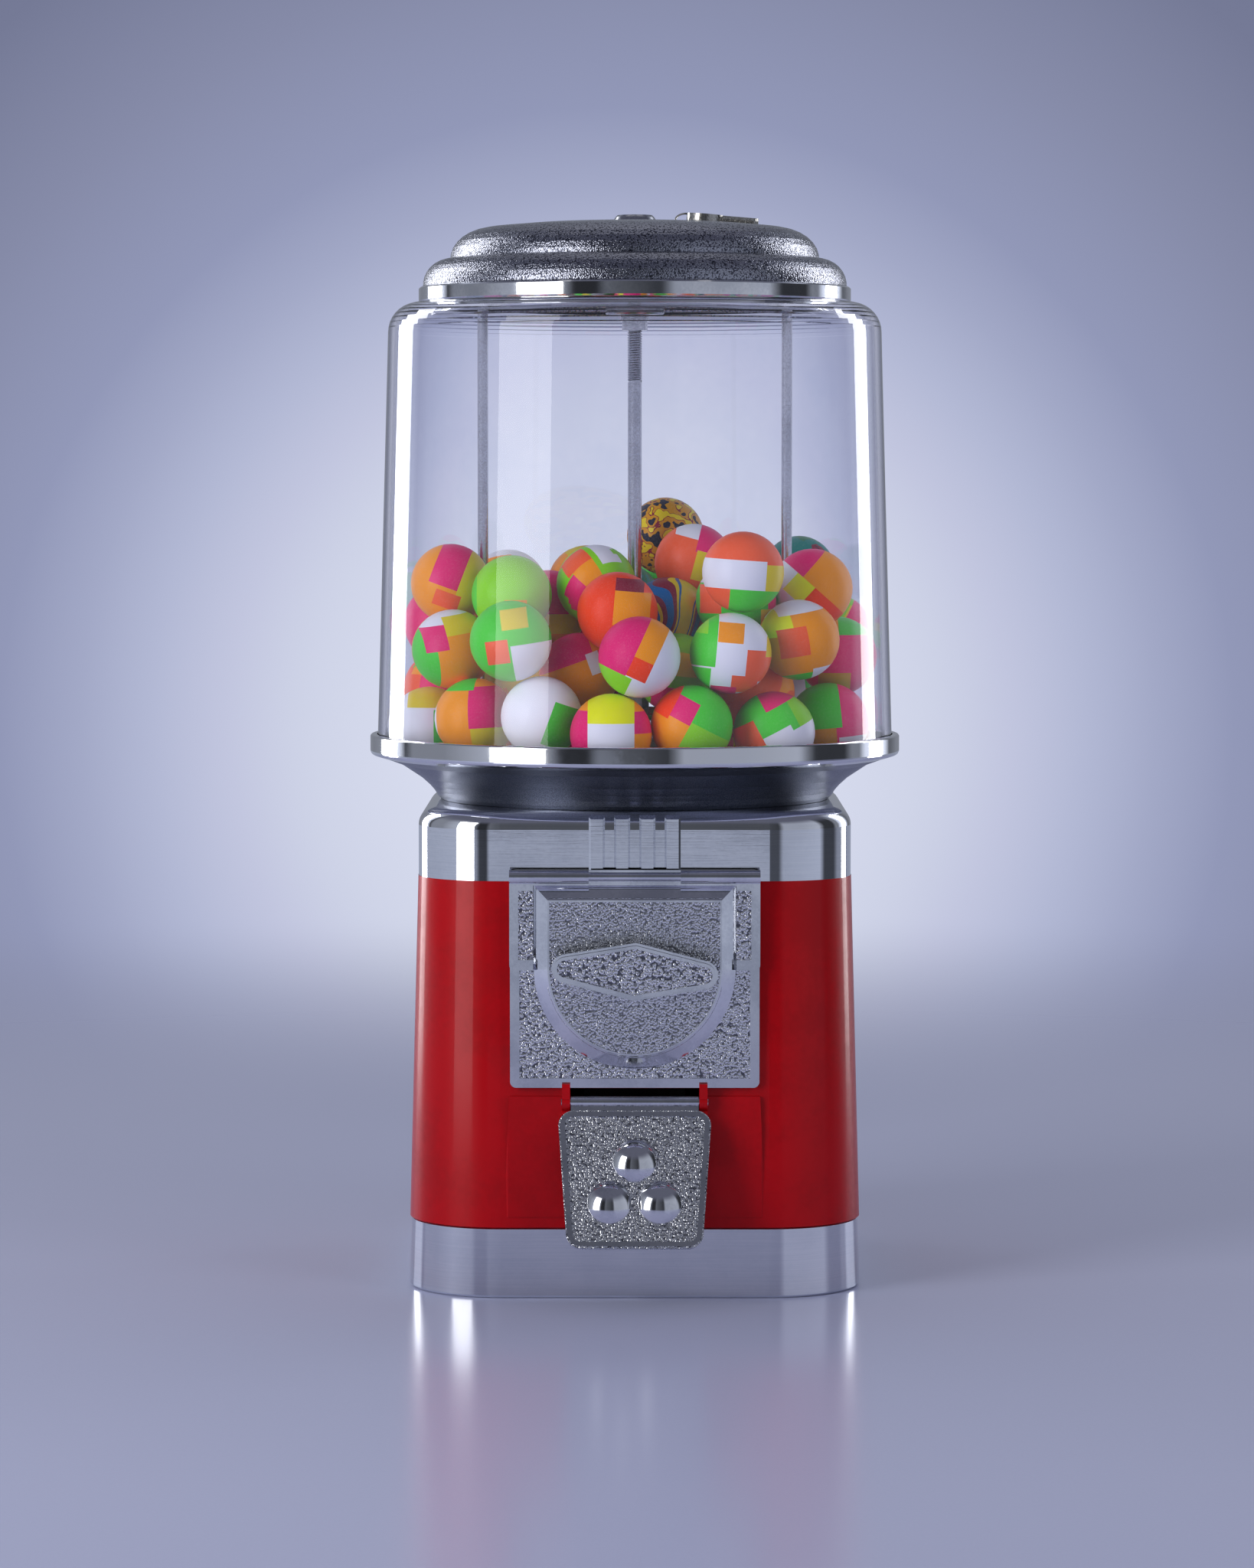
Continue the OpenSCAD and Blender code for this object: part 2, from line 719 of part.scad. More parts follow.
// Ratchet that keeps the handle from turning back
module ratchet_wheel() color(STEEL) {
    teeth = 12;
    r = ratchet_r();
    difference() {
        stand(ratchet_d0, ratchet_d0 + ratchet_t) translate([0, shaft_z]) difference() {
            union() {
                circle(r - 3);
                for (k = [0:teeth - 1]) rotate(pawl_tip_angle() + 360 * k / teeth)
                    polygon([[r - 3.4, -5.5], [r - 2.8, -5.8], [r, 0], [r - 3.4, 0.8]]);
            }
        }
        bar(ratchet_d0 - 1, ratchet_d0 + ratchet_t + 1, shaft_d / 2 + play);
    }
}

// Direction from the shaft to the pawl's tip, which rests on a tooth's crest
function pawl_tip_angle() = 8;

module pawl() color(STEEL) {
    tip = (ratchet_r() + gap) * [cos(pawl_tip_angle()), sin(pawl_tip_angle())];
    pivot = [pawl_x(), pawl_z() - shaft_z];
    difference() {
        stand(ratchet_d0 + 0.1, ratchet_d0 + ratchet_t - 0.1) translate([0, shaft_z]) {
            translate(pivot) circle(4);
            polygon([
                tip, tip + [2.6, -1.2], pivot + [3.6, -1.6], pivot + [-3.6, 1.6], tip + [0.6, 3.4]
            ]);
        }
        bar(ratchet_d0 - 1, ratchet_d0 + ratchet_t + 1, 1.5 + play, pawl_z(), pawl_x());
    }
}

module pawl_pin() color(STEEL) {
    bar(back_d0 - 0.5, ratchet_d0 + ratchet_t + 0.2, 1.5, pawl_z(), pawl_x());
    bar(ratchet_d0 + ratchet_t + 0.2, carrier_d0 - gap, 2.8, pawl_z(), pawl_x());
}

// Closely wound torsion spring round the pawl's boss, with its two legs
module pawl_spring() color(STEEL) {
    translate([pawl_x(), -back_d0 - back_t - 1, pawl_z()]) rotate([90, 0, 0]) difference() {
        cylinder(r = 5.6, h = 5);
        translate([0, 0, -1]) cylinder(r = 4.55, h = 10);
    }
    translate([pawl_x() - 0.5, -back_d0 - back_t - 2, pawl_z() + 5]) cube([1, 1, 8]);
    translate([pawl_x() - 0.5, -back_d0 - back_t - 6, pawl_z() - 13]) cube([1, 1, 8]);
}

module drive_gear() color(BRASS) {
    difference() {
        union() {
            stand(gear_d0, gear_d1) translate([0, shaft_z]) spur(drive_teeth, drive_r);
            bar(gear_d1 - 0.1, ratchet_d0 - 0.1, 8);
            bar(back_d0 + back_t + 1.4, gear_d0 + 0.1, 8);
        }
        bar(back_d0, ratchet_d0 + 1, shaft_d / 2 + play);
    }
}

module transfer_gear() color(BRASS) {
    difference() {
        union() {
            stand(gear_d0, gear_d1) translate([0, transfer_z])
                spur(transfer_teeth, transfer_r, 180 / transfer_teeth);
            bar(gear_d1 - 0.1, bridge_d0 - 0.2, 6.5, transfer_z);
        }
        bar(gear_d0 - 1, bridge_d0 + 1, axle_r() + play, transfer_z);
        for (a = [0:60:300]) translate([0, 0, transfer_z]) rotate([0, a, 0])
            bar(gear_d0 - 1, gear_d1 + 1, 4, 14.5);
    }
}

module transfer_axle() color(STEEL) {
    bar(gear_d0 - 1.6, bridge_d0 + bridge_t - 0.2, axle_r(), transfer_z);
    bar(gear_d0 - 1.6, gear_d0 - 0.2, 5, transfer_z);
}

module mech_screws() color(STEEL) {
    for (x = [-1, 1], z = screw_levels()) {
        bar(body_top_half - 8.5, plate_d0 + 1.5, 1.9, z, x * screw_x());
        bar(body_top_half - 11, body_top_half - 8.55, 3.6, z, x * screw_x());
    }
}

/* ---------- chute, door and coin box ---------- */

// Depth and height of a point given along and out from the closed door
function door_point(n, v) = [
    hinge_d + n * lean_cos + v * lean_sin,
    hinge_z + n * lean_sin - v * lean_cos
];

module chute() color(BLACK) {
    box_z1 = chute_top_z - 9;
    box_z0 = chute_top_z - 25;
    back = chute_in_d - shaft_half;
    front = chute_in_d + shaft_half;
    box_front = drop_d + pocket_r + 2.4;
    wall = chute_wall;
    lip = door_point(door_n0 - 0.3, door_len + 1);
    difference() {
        union() {
            // inlet collar under the drop hole
            translate([0, -drop_d, box_z1 - 1]) cylinder(r = pocket_r + 2.4, h = chute_top_z - box_z1 + 1);
            // square shaft, wider towards the front at its top
            across(shaft_half) polygon([
                [back, chute_floor_z], [front, chute_floor_z - (front - back) * chute_slope()],
                [front, box_z0], [box_front, box_z1], [back, box_z1]
            ]);
            // sloping spout
            across(spout_half) polygon([
                [front - 6, chute_floor_z - (front - 6 - back) * chute_slope()], lip,
                door_point(door_n0 - 0.3, 12), [hinge_d - 4, hinge_z - 7], [front, hinge_z - 3],
                [front - 6, hinge_z - 3]
            ]);
        }
        translate([0, -drop_d, box_z1 - 8]) cylinder(r = pocket_r + 0.4, h = 20);
        across(shaft_half - wall) polygon([
            [back + wall, chute_floor_z + wall],
            [front - wall, chute_floor_z + wall - (front - back - 2 * wall) * chute_slope()],
            [front - wall, box_z0 + 0.4], [box_front - wall, box_z1 - wall], [back + wall, box_z1 - wall]
        ]);
        across(chute_w / 2) polygon([
            [front - 4, chute_floor_z + wall - (front - 4 - back) * chute_slope()],
            lip + [2, wall - 2 * chute_slope()], [hinge_d + 30, hinge_z], [hinge_d - 4, hinge_z - 9],
            [front, hinge_z - 5], [front - 4, hinge_z - 5]
        ]);
    }
}

function chute_slope() = (chute_floor_z - door_point(door_n0 - 0.3, door_len + 1).y)
    / (door_point(door_n0 - 0.3, door_len + 1).x - chute_in_d + shaft_half);

module door_outline(inset = 0) {
    r = 6 - inset;
    hull() {
        for (x = [-1, 1]) translate([x * (door_top_w / 2 - 6), -door_v0 - 6]) circle(r, $fn = 48);
        for (x = [-1, 1]) translate([x * (door_foot_w / 2 - 6), -door_v0 - door_len + 6]) circle(r, $fn = 48);
    }
}

module chute_door() color(CAST) {
    barrel = ear_gap / 2 - gap;
    translate([0, -hinge_d, hinge_z]) rotate([-door_lean, 0, 0]) difference() {
        union() {
            stand(door_n0, door_n1 - 0.6) door_outline();
            stand(door_n0 + 0.6, door_n1) difference() {
                door_outline(0.6);
                door_outline(rim_w);
            }
            rotate([0, 90, 0]) cylinder(r = pin_r + 0.85, h = 2 * barrel, center = true);
            translate([-barrel, -door_n0 - 1.6, -door_v0 - 6]) cube([2 * barrel, 1.6, door_v0 + 6]);
            door_motif();
        }
        rotate([0, 90, 0]) cylinder(r = pin_r + play, h = ear_gap + 2, center = true);
    }
}

// Three round gumballs in relief, one above two
module door_motif() {
    r = 9.4;
    mid = -door_v0 - door_len / 2 - 1;
    for (p = [[0, 8.4], [-9.9, -8.4], [9.9, -8.4]]) translate([p.x, -door_n0 - 1.4, mid + p.y])
        intersection() {
            translate([0, 7.2, 0]) sphere(r = 11.6);
            translate([-r, -8, -r]) cube([2 * r, 8, 2 * r]);
        }
}

module door_pin() color(STEEL) {
    translate([0, -hinge_d, hinge_z]) rotate([0, 90, 0])
        cylinder(r = pin_r, h = ear_gap + 2 * ear_t + 0.6, center = true);
}

// Coin box: a U in plan, round the back of the chute
module coin_box() color(BLACK) {
    half = body_half - base_wall - 6.8;
    z0 = base_cup_z;
    h = 46;
    slot = spout_half + 4;
    slot_d = chute_in_d - shaft_half - 3;
    difference() {
        translate([0, 0, z0]) linear_extrude(h) difference() {
            rounded_rect(2 * half, 2 * half, half - corner_c);
            translate([-slot, -half - 10]) square([2 * slot, half + 10 - slot_d]);
        }
        translate([0, 0, z0 + 2]) linear_extrude(h) difference() {
            rounded_rect(2 * half - 4, 2 * half - 4, half - corner_c - 2);
            translate([-slot - 2, -half - 10]) square([2 * slot + 4, half + 12 - slot_d]);
            circle(6.5);
        }
        translate([0, 0, z0 - 1]) cylinder(r = 4.5, h = h + 2);
    }
}

/* ---------- hopper ---------- */

module hopper() color(SATIN) {
    z = deck_z;
    difference() {
        union() {
            rotate_extrude() polygon([
                // under the floor, round the gear channel and out to the rim
                [thread_d / 2 + 0.4, floor_z - hopper_floor], [channel_in - 2.4, floor_z - hopper_floor],
                [channel_in - 2.4, channel_z - hopper_floor], [seat_r, channel_z - hopper_floor],
                [seat_r, z + 0.1],
                for (p = [
                    [0.08, 0.1], [0.13, 1.6], [0.17, 3.7], [0.23, 5.9], [0.34, 9], [0.6, 14.4], [0.82, 16.9]
                ]) [seat_r + p.x * rim_reach, z + p.y],
                [rim_r - 3.4, z + 17.5],
                // rim
                for (a = [-60:15:0]) [rim_r - 2 + 2 * cos(a), z + 20 + 2 * sin(a)],
                for (a = [0:15:90]) [rim_r - 1 + cos(a), rim_z - 1 + sin(a)],
                [globe_r + 0.4, rim_z], [globe_r + 0.4, globe_z0], [globe_r - globe_wall - 0.6, globe_z0],
                // inside of the bowl, down to the floor
                [globe_r - 10, z + 17.4], [globe_r - 18, z + 12.8],
                [channel_out + 0.35 * rim_reach - 4.4, z + 7.2], [channel_out + 3, z + 4],
                [channel_out + 0.8, floor_z], [channel_out, floor_z - 1], [channel_out, channel_z],
                [channel_in, channel_z], [channel_in, floor_z],
                // post for the product wheel
                [post_r, floor_z], [post_r, guard_z], [thread_d / 2 + 0.4, guard_z]
            ]);
            for (x = [-1, 1]) rod_lug(x);
        }
        translate([0, -drop_d, deck_z - 20]) cylinder(r = pocket_r, h = 40);
        // slot that the transfer gear reaches up through
        translate([-transfer_r + 3, -gear_d1 - 0.8, channel_z - 10])
            cube([2 * transfer_r - 6, gear_face + 1.6, 10 + 1]);
        for (x = [-1, 1]) translate([x * tie_x, 0, lug_z0 - 1]) cylinder(d = tie_d + 2 * play, h = lug_t + 2);
    }
}

// Lug on the bowl's wall that carries a tie rod over the edge of the product wheel
module rod_lug(x) {
    inner = tie_x - tie_d / 2 - 0.9;
    outer = globe_r - globe_wall - 1.2;
    translate([0, lug_w / 2, 0]) rotate([90, 0, 0]) linear_extrude(lug_w) polygon([
        [x * inner, lug_z0], [x * inner, lug_z0 + lug_t], [x * outer, lug_z0 + lug_t],
        [x * outer, globe_z0 - 1], [x * (seat_r + 11), deck_z + 11], [x * (wheel_r + 4), lug_z0]
    ]);
}

module product_wheel() color(IVORY) {
    difference() {
        union() {
            rotate_extrude() polygon([
                [post_r + 0.1, wheel_z0], [wheel_r, wheel_z0], [wheel_r, wheel_z1 - 3],
                for (a = [0:18:90]) [wheel_r - 3 + 3 * cos(a), wheel_z1 - 3 + 3 * sin(a)],
                [20, wheel_z1], [17, wheel_z1 + 3], [post_r + 0.1, wheel_z1 + 3]
            ]);
            crown_ring();
        }
        for (k = [0:pockets - 1]) rotate(-90 + 360 * k / pockets) translate([pocket_pcd_r, 0, 0]) {
            translate([0, 0, wheel_z0 - 5]) cylinder(r = pocket_r, h = 60);
            translate([0, 0, wheel_z1 - 1.5]) cylinder(r1 = pocket_r - 0.1, r2 = pocket_r + 2.4, h = 2.5);
        }
    }
}

// Teeth under the wheel's edge, pointing down
module crown_ring() {
    half = pitch * tooth_share / 2;
    flank = tan(18);
    low = crown_z - addendum;
    rise = wheel_z0 - crown_z;
    for (k = [0:crown_teeth - 1]) rotate(-90 + 360 * k / crown_teeth)
        translate([crown_r, 0, 0]) rotate([90, 0, 90]) linear_extrude(height = gear_face, center = true)
            polygon([
                [-half - rise * flank, wheel_z0 + 0.2], [-half + addendum * flank, low],
                [half - addendum * flank, low], [half + rise * flank, wheel_z0 + 0.2]
            ]);
}

// Shield over the pocket above the drop hole
module ball_guard() color(STEEL) {
    difference() {
        translate([0, 0, guard_z + 0.05]) linear_extrude(guard_t) {
            circle(14);
            translate([0, -drop_d]) circle(pocket_r + 2);
            translate([-11, -drop_d]) square([22, drop_d]);
        }
        cylinder(d = thread_d + 0.6, h = guard_z + 20);
    }
}

module guard_nut() color(STEEL) {
    hex_nut(guard_z + guard_t + 0.1, 5, 10, thread_d + 2 * play);
}

/* ---------- balls ---------- */

ball_r = ball_d / 2;
spread = ball_d + 0.2;
far_up = neck_z * 10;
bowl_slope = 28;

// Radius at which a ball's centre touches the globe's wall, when it rests at a height
function wall_r(z) = globe_r - globe_wall - ball_r - 0.4
    - (globe_r - globe_top_r) * max(0, z - rim_z) / (neck_z - shoulder_r - rim_z);

// Balls placed by hand: angle from the front, and distance in from the globe's wall
lower_front = [[-6.2, 0], [15.6, 3], [39.5, 0], [67.2, 2], [-51.5, 5], [-28.1, 8], [-74.1, 0]];
middle_front = [[1.2, 0], [26.1, 0], [49.5, 0], [-26.6, 36], [-34.9, 0], [-63.9, 4], [80.1, 2]];
upper_front = [[30.6, 58], [-6.7, 26], [45.7, 28], [66.7, 7], [-77.4, 8], [-52, 22], [-80.9, 49]];
crest = [[-174.5, 29], [31.5, 3], [87.2, 60], [154.8, 54], [122.9, 2]];

function polar_place(p, r) = [r * sin(p[0]), -r * cos(p[0])];

// Height at which a ball's centre comes to rest at q, on the balls already placed
function height_at(q, placed) =
    let (
        r = norm([q.x, q.y]),
        over_edge = r < wheel_r + ball_r ? sqrt(pow(ball_r, 2) - pow(r - wheel_r, 2)) : -99,
        over_wheel = wheel_z1 + (r < wheel_r ? ball_r : over_edge),
        off = abs(r - pocket_pcd_r),
        over_pockets = off < spread ? floor_z + ball_r + sqrt(pow(spread, 2) - pow(off, 2)) : 0,
        over_bowl = deck_z + 12.8 + (r - globe_r + 18) * tan(bowl_slope) + ball_r / cos(bowl_slope) + 0.2,
        over_lug = abs(q.y) < lug_w / 2 + ball_r && abs(q.x) > tie_x - 19 ? lug_z0 + lug_t + ball_r : 0,
        over_guard = norm([q.x, q.y + drop_d]) < pocket_r + 2 + ball_r || r < 14 + ball_r
            ? guard_z + guard_t + ball_r + 0.3 : 0,
        over_balls = [for (b = placed) let (s = norm([q.x - b.x, q.y - b.y]))
            if (s < spread) b.z + sqrt(pow(spread, 2) - pow(s, 2))]
    )
    max(concat([over_wheel + 0.3, over_pockets + 0.3, over_bowl, over_lug + 0.3, over_guard], over_balls));

// The same, far out of reach where the rods or the globe's wall are in the way
function rest_z(q, placed) =
    let (
        r = norm([q.x, q.y]),
        tie = norm([abs(q.x) - tie_x, q.y]),
        z = height_at(q, placed)
    )
    r > wall_r(z) || r < ball_r + thread_d / 2 + 2.6 || tie < ball_r + tie_d / 2 + 0.3 ? far_up : z;

function lowest_of(places, placed) =
    let (
        heights = [for (q = places) rest_z(q, placed)],
        low = min(heights),
        best = [for (k = [0:len(heights) - 1]) if (heights[k] == low) places[k]][0]
    )
    [best.x, best.y, low];

// Rolls a ball downhill in ever smaller steps until it rests between its neighbours
function settle(b, placed, step) = step < 0.15 ? b : settle(
    lowest_of(concat([[b.x, b.y]], [for (a = [0:45:315]) [b.x, b.y] + step * [cos(a), sin(a)]]), placed),
    placed, step * 0.72);

function drop_listed(list, placed, k = 0) = k == len(list) ? placed :
    let (
        rough = height_at(polar_place(list[k], wall_r(rim_z) - list[k][1]), placed),
        q = polar_place(list[k], wall_r(rough) - list[k][1])
    )
    drop_listed(list, concat(placed, [[q.x, q.y, height_at(q, placed)]]), k + 1);

// Drops balls over a spiral of places; each settles in the lowest spot that it finds
function drop_filler(count, placed, turn, ceiling) = count == 0 ? placed :
    let (
        places = [for (k = [0:59])
            let (r = wall_r(ceiling) * sqrt((k + 0.5) / 60), a = 137.508 * k + 61.8 * turn)
            [r * cos(a), r * sin(a)]],
        ball = settle(lowest_of(places, placed), placed, 5)
    )
    drop_filler(count - 1, ball.z < ceiling ? concat(placed, [ball]) : placed, turn + 1, ceiling);

function ball_pile() =
    let (
        a = drop_listed(lower_front, []),
        b = drop_filler(floor_fill, a, pile_turn, guard_z + 19),
        c = drop_listed(middle_front, b),
        d = drop_filler(middle_fill, c, pile_turn + 100, guard_z + 29),
        e = drop_listed(upper_front, d),
        f = drop_filler(upper_fill, e, pile_turn + 200, guard_z + 46)
    )
    drop_filler(top_fill, drop_listed(crest, f), pile_turn + 300, guard_z + 56);

module balls() color([0.95, 0.45, 0.15]) {
    for (b = ball_pile()) translate(b) sphere(d = ball_d, $fn = 48);
}

// One ball in each pocket, apart from the empty one over the drop hole
module pocket_balls() color([0.30, 0.80, 0.20]) {
    for (k = [1:pockets - 1]) rotate(-90 + 360 * k / pockets)
        translate([pocket_pcd_r, 0, floor_z + ball_r + 0.2]) sphere(d = ball_d, $fn = 48);
}

/* ---------- globe and rods ---------- */

module globe() color([0.80, 0.88, 0.95, 0.35]) {
    lip_z = globe_z0 + 0.1;
    shoulder_z = neck_z - shoulder_r;
    rotate_extrude() polygon([
        [globe_r, lip_z], [globe_r, rim_z], [globe_top_r, shoulder_z],
        for (a = [10:10:90]) [neck_r + shoulder_r * cos(a), shoulder_z + shoulder_r * sin(a)],
        [throat_r, neck_z], [throat_r, neck_z + 4], [throat_r - globe_wall, neck_z + 4],
        [throat_r - globe_wall, neck_z - globe_wall],
        for (a = [90:-10:10])
            [neck_r + (shoulder_r - globe_wall) * cos(a), shoulder_z + (shoulder_r - globe_wall) * sin(a)],
        [globe_top_r - globe_wall, shoulder_z], [globe_r - globe_wall, rim_z], [globe_r - globe_wall, lip_z]
    ]);
}

module centre_rod() color(STEEL) {
    thread_z0 = collar_z1 - collar_h - thread_show;
    translate([0, 0, 0.8]) cylinder(d = thread_d, h = guard_z + guard_t + 8);
    translate([0, 0, guard_z]) cylinder(d = rod_d, h = thread_z0 - guard_z);
    translate([0, 0, thread_z0]) cylinder(d = thread_d, h = neck_z + 8 - thread_z0);
}

module tie_rods() color(STEEL) {
    for (x = [-1, 1]) translate([x * tie_x, 0, lug_z0]) cylinder(d = tie_d, h = tie_z1 - lug_z0);
}

module tie_nuts() color(STEEL) {
    for (x = [-1, 1]) translate([x * tie_x, 0, 0]) hex_nut(lug_z0 + lug_t + 0.1, 3.2, 7, tie_d + 2 * play);
}

/* ---------- lid ---------- */

module lid() color(CAST) {
    z = neck_z + 0.1;
    bulge = tier1_h;
    top_r = 11;
    difference() {
        rotate_extrude() polygon([
            [band_r - 0.6, z], [band_r, z + 0.6], [band_r, z + band_h - 0.6], [band_r - 0.6, z + band_h],
            [band_r - 1.7, z + band_h + 0.5],
            for (a = [8:12:80])
                [waist_r + 0.5 + (band_r - 2.2 - waist_r) * cos(a), z + band_h + 0.8 + (bulge - 1) * sin(a)],
            [waist_r, waist_z],
            for (a = [8:12:80])
                [waist_r - 17 + 17 * cos(a), waist_z + (tier2_h - 1.6) * sin(a)],
            [46, lid_z1 - 0.4], [30, lid_z1], [lock_r - 2, lid_z1], [lock_r - 2, lid_z1 - lid_wall],
            [30, lid_z1 - lid_wall], [46, lid_z1 - lid_wall - 0.4],
            [waist_r - 14, lid_z1 - lid_wall - 3.6], [waist_r - 5, waist_z + 4],
            [waist_r - lid_wall - 0.4, waist_z - 1],
            [waist_r - lid_wall + 3, waist_z - lid_wall - 1], [band_r - 5, z + band_h + 2],
            [band_r - 4, z + band_h - 1], [band_r - 4, z]
        ]);
    }
    for (x = [-1, 1]) translate([x * tie_x, 0, tie_z1 - 3]) difference() {
        cylinder(d = tie_d + 5, h = lid_z1 - 2.2 - tie_z1);
        translate([0, 0, -1]) cylinder(d = tie_d + 0.6, h = 5);
    }
}

// Housing of the lock: a collar on top of the lid and a boss down its middle
module lock_housing() color(STEEL) {
    difference() {
        union() {
            rotate_extrude() polygon([
                [6.3, lid_z1 + 0.05], [lock_r, lid_z1 + 0.05], [7.9, lid_z1 + lock_h - 0.8],
                [7.1, lid_z1 + lock_h], [6.3, lid_z1 + lock_h]
            ]);
            rotate_extrude() polygon([
                [5.3, collar_z1], [boss_r - 0.5, collar_z1], [boss_r, collar_z1 + 0.5],
                [boss_r, lid_z1 - lid_wall - 3], [lock_r - 2 - play, lid_z1 - lid_wall - 0.1],
                [lock_r - 2 - play, lid_z1 + 0.1], [5.3, lid_z1 + 0.1]
            ]);
        }
        translate([0, 0, lid_z1 - 14]) cylinder(r = 6.3, h = 30);
        translate([0, 0, collar_z1 - 1]) cylinder(r = 5.3, h = 60);
    }
}

// Plug that the key turns, with a keyway across its face
module lock_plug() color(BRASS) {
    difference() {
        translate([0, 0, lid_z1 - 13.9]) cylinder(r = 6.3 - play, h = 13.9 + lock_h - 0.5);
        translate([-3.6, -0.7, lid_z1 + lock_h - 5]) cube([7.2, 1.4, 10]);
    }
}

// Two-step collar that screws onto the rod under the boss
module rod_collar() color(STEEL) {
    difference() {
        union() {
            translate([0, 0, collar_z1 - collar_h]) cylinder(r = 5.2, h = collar_h - 2.2);
            translate([0, 0, collar_z1 - 2.3]) cylinder(r = 5.8, h = 2.2);
        }
        translate([0, 0, collar_z1 - 20]) cylinder(d = thread_d + 2 * play, h = 40);
    }
}

// Two keys, threaded on the ring through the holes in their bows
module keys() color(BRASS) {
    for (k = [0, 1]) translate([24.6, -3.2, lid_z1 + 2.68]) rotate([0, 4.3, 0])
        rotate(-10 + 19 * k) translate([0, 0, 1.5 * k - 1.45]) linear_extrude(1.4) {
            difference() {
                translate([4, 0]) circle(7.5);
                circle(2.9);
            }
            polygon([
                [8, -2.4], [24.4, -2.4], [25.9, -0.8], [25.9, 0.6], [23.4, 2.4], [21.4, 1.4], [19.4, 2.6],
                [17.4, 1.4], [15.4, 2.6], [13.4, 2.4], [8, 2.4]
            ]);
        }
}

module key_ring() color(STEEL) {
    translate([20.4, -1, lid_z1 + 4.8]) rotate([45, 0, 0])
        rotate_extrude() translate([6, 0]) circle(0.5);
}

base_ring();
base_plate();
base_nut();
body_shell();
top_ring();
mech_plate();
coin_hood();
dial_cover();
handle();
mech_housing();
shaft_bush();
handle_shaft();
coin_carrier();
ratchet_wheel();
pawl();
pawl_pin();
pawl_spring();
drive_gear();
transfer_gear();
transfer_axle();
mech_screws();
chute();
chute_door();
door_pin();
coin_box();
hopper();
product_wheel();
ball_guard();
guard_nut();
balls();
pocket_balls();
globe();
centre_rod();
tie_rods();
tie_nuts();
lid();
lock_housing();
lock_plug();
rod_collar();
keys();
key_ring();
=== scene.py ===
import math
import random

import bmesh
import bpy
from mathutils import Euler, Matrix, Vector


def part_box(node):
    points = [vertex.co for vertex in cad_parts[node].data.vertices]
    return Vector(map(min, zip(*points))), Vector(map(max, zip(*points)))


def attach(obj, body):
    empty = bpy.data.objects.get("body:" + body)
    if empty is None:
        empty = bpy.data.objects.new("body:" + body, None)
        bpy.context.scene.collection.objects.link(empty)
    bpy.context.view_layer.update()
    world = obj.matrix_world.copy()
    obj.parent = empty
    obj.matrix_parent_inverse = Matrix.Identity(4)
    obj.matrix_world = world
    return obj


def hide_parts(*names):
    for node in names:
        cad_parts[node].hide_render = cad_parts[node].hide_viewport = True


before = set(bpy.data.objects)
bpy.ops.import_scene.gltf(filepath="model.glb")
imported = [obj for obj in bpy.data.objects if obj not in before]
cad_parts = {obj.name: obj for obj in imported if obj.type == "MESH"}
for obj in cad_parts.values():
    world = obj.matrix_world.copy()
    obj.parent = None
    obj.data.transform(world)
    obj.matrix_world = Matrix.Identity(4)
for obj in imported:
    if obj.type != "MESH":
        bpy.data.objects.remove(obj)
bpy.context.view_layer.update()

MM = 0.001
BALL_RADIUS = 16 * MM
HINGE = (0.0, -0.092, 0.0778)   # the chute door's pin
DOOR_LEAN = math.radians(24)    # how far the closed door's foot stands out
BEYOND = 0.3                    # further out than any side of the machine


# ---------- short calls for node trees ----------

def tone(red, green, blue):
    """A colour on the 0 to 255 scale, in the linear values that sockets take."""
    def linear(c):
        c /= 255
        return c / 12.92 if c <= 0.04045 else ((c + 0.055) / 1.055) ** 2.4
    return (linear(red), linear(green), linear(blue), 1.0)


def wire(tree, kind, feeds=None, **settings):
    """Adds a node; each feed is a value for an input or a socket to link to it."""
    node = tree.nodes.new("ShaderNode" + kind)
    for name, value in settings.items():
        setattr(node, name, value)
    for name, value in (feeds or {}).items():
        if isinstance(value, bpy.types.NodeSocket):
            tree.links.new(value, node.inputs[name])
        else:
            node.inputs[name].default_value = value
    return node


def maths(tree, operation, *values):
    return wire(tree, "Math", dict(enumerate(values)), operation=operation).outputs[0]


def ease(tree, value, start, end, low=0.0, high=1.0):
    """Low below start, high above end, with a smooth step between."""
    feeds = {"Value": value, "From Min": start, "From Max": end, "To Min": low, "To Max": high}
    return wire(tree, "MapRange", feeds, interpolation_type="SMOOTHSTEP").outputs["Result"]


def mix(tree, factor, first, second):
    return wire(tree, "Mix", {0: factor, 6: first, 7: second}, data_type="RGBA").outputs[2]


def grain(tree, vector, scale, detail=2.0, roughness=0.5):
    feeds = {"Vector": vector, "Scale": scale, "Detail": detail, "Roughness": roughness}
    return wire(tree, "TexNoise", feeds).outputs[0]


def fill_ramp(elements, stops):
    while len(elements) < len(stops):
        elements.new(0.5)
    for element, (place, colour) in zip(elements, stops):
        element.position = place
        element.color = colour


def bands(tree, value, stops):
    """Flat colours, each from its place on until the next."""
    ramp = wire(tree, "ValToRGB", {0: value})
    ramp.color_ramp.interpolation = "CONSTANT"
    fill_ramp(ramp.color_ramp.elements, stops)
    return ramp.outputs[0]


# ---------- effects shared by the finishes ----------

def effect(name, takes, gives):
    """A node group: its tree, the sockets of its inputs, and those of its outputs."""
    tree = bpy.data.node_groups.new(name, "ShaderNodeTree")
    for label, value in takes.items():
        kind = "NodeSocketFloat" if isinstance(value, float) else "NodeSocketVector"
        socket = tree.interface.new_socket(name=label, in_out="INPUT", socket_type=kind)
        socket.default_value = value
    for label in gives:
        tree.interface.new_socket(name=label, in_out="OUTPUT", socket_type="NodeSocketFloat")
    return tree, tree.nodes.new("NodeGroupInput").outputs, tree.nodes.new("NodeGroupOutput").inputs


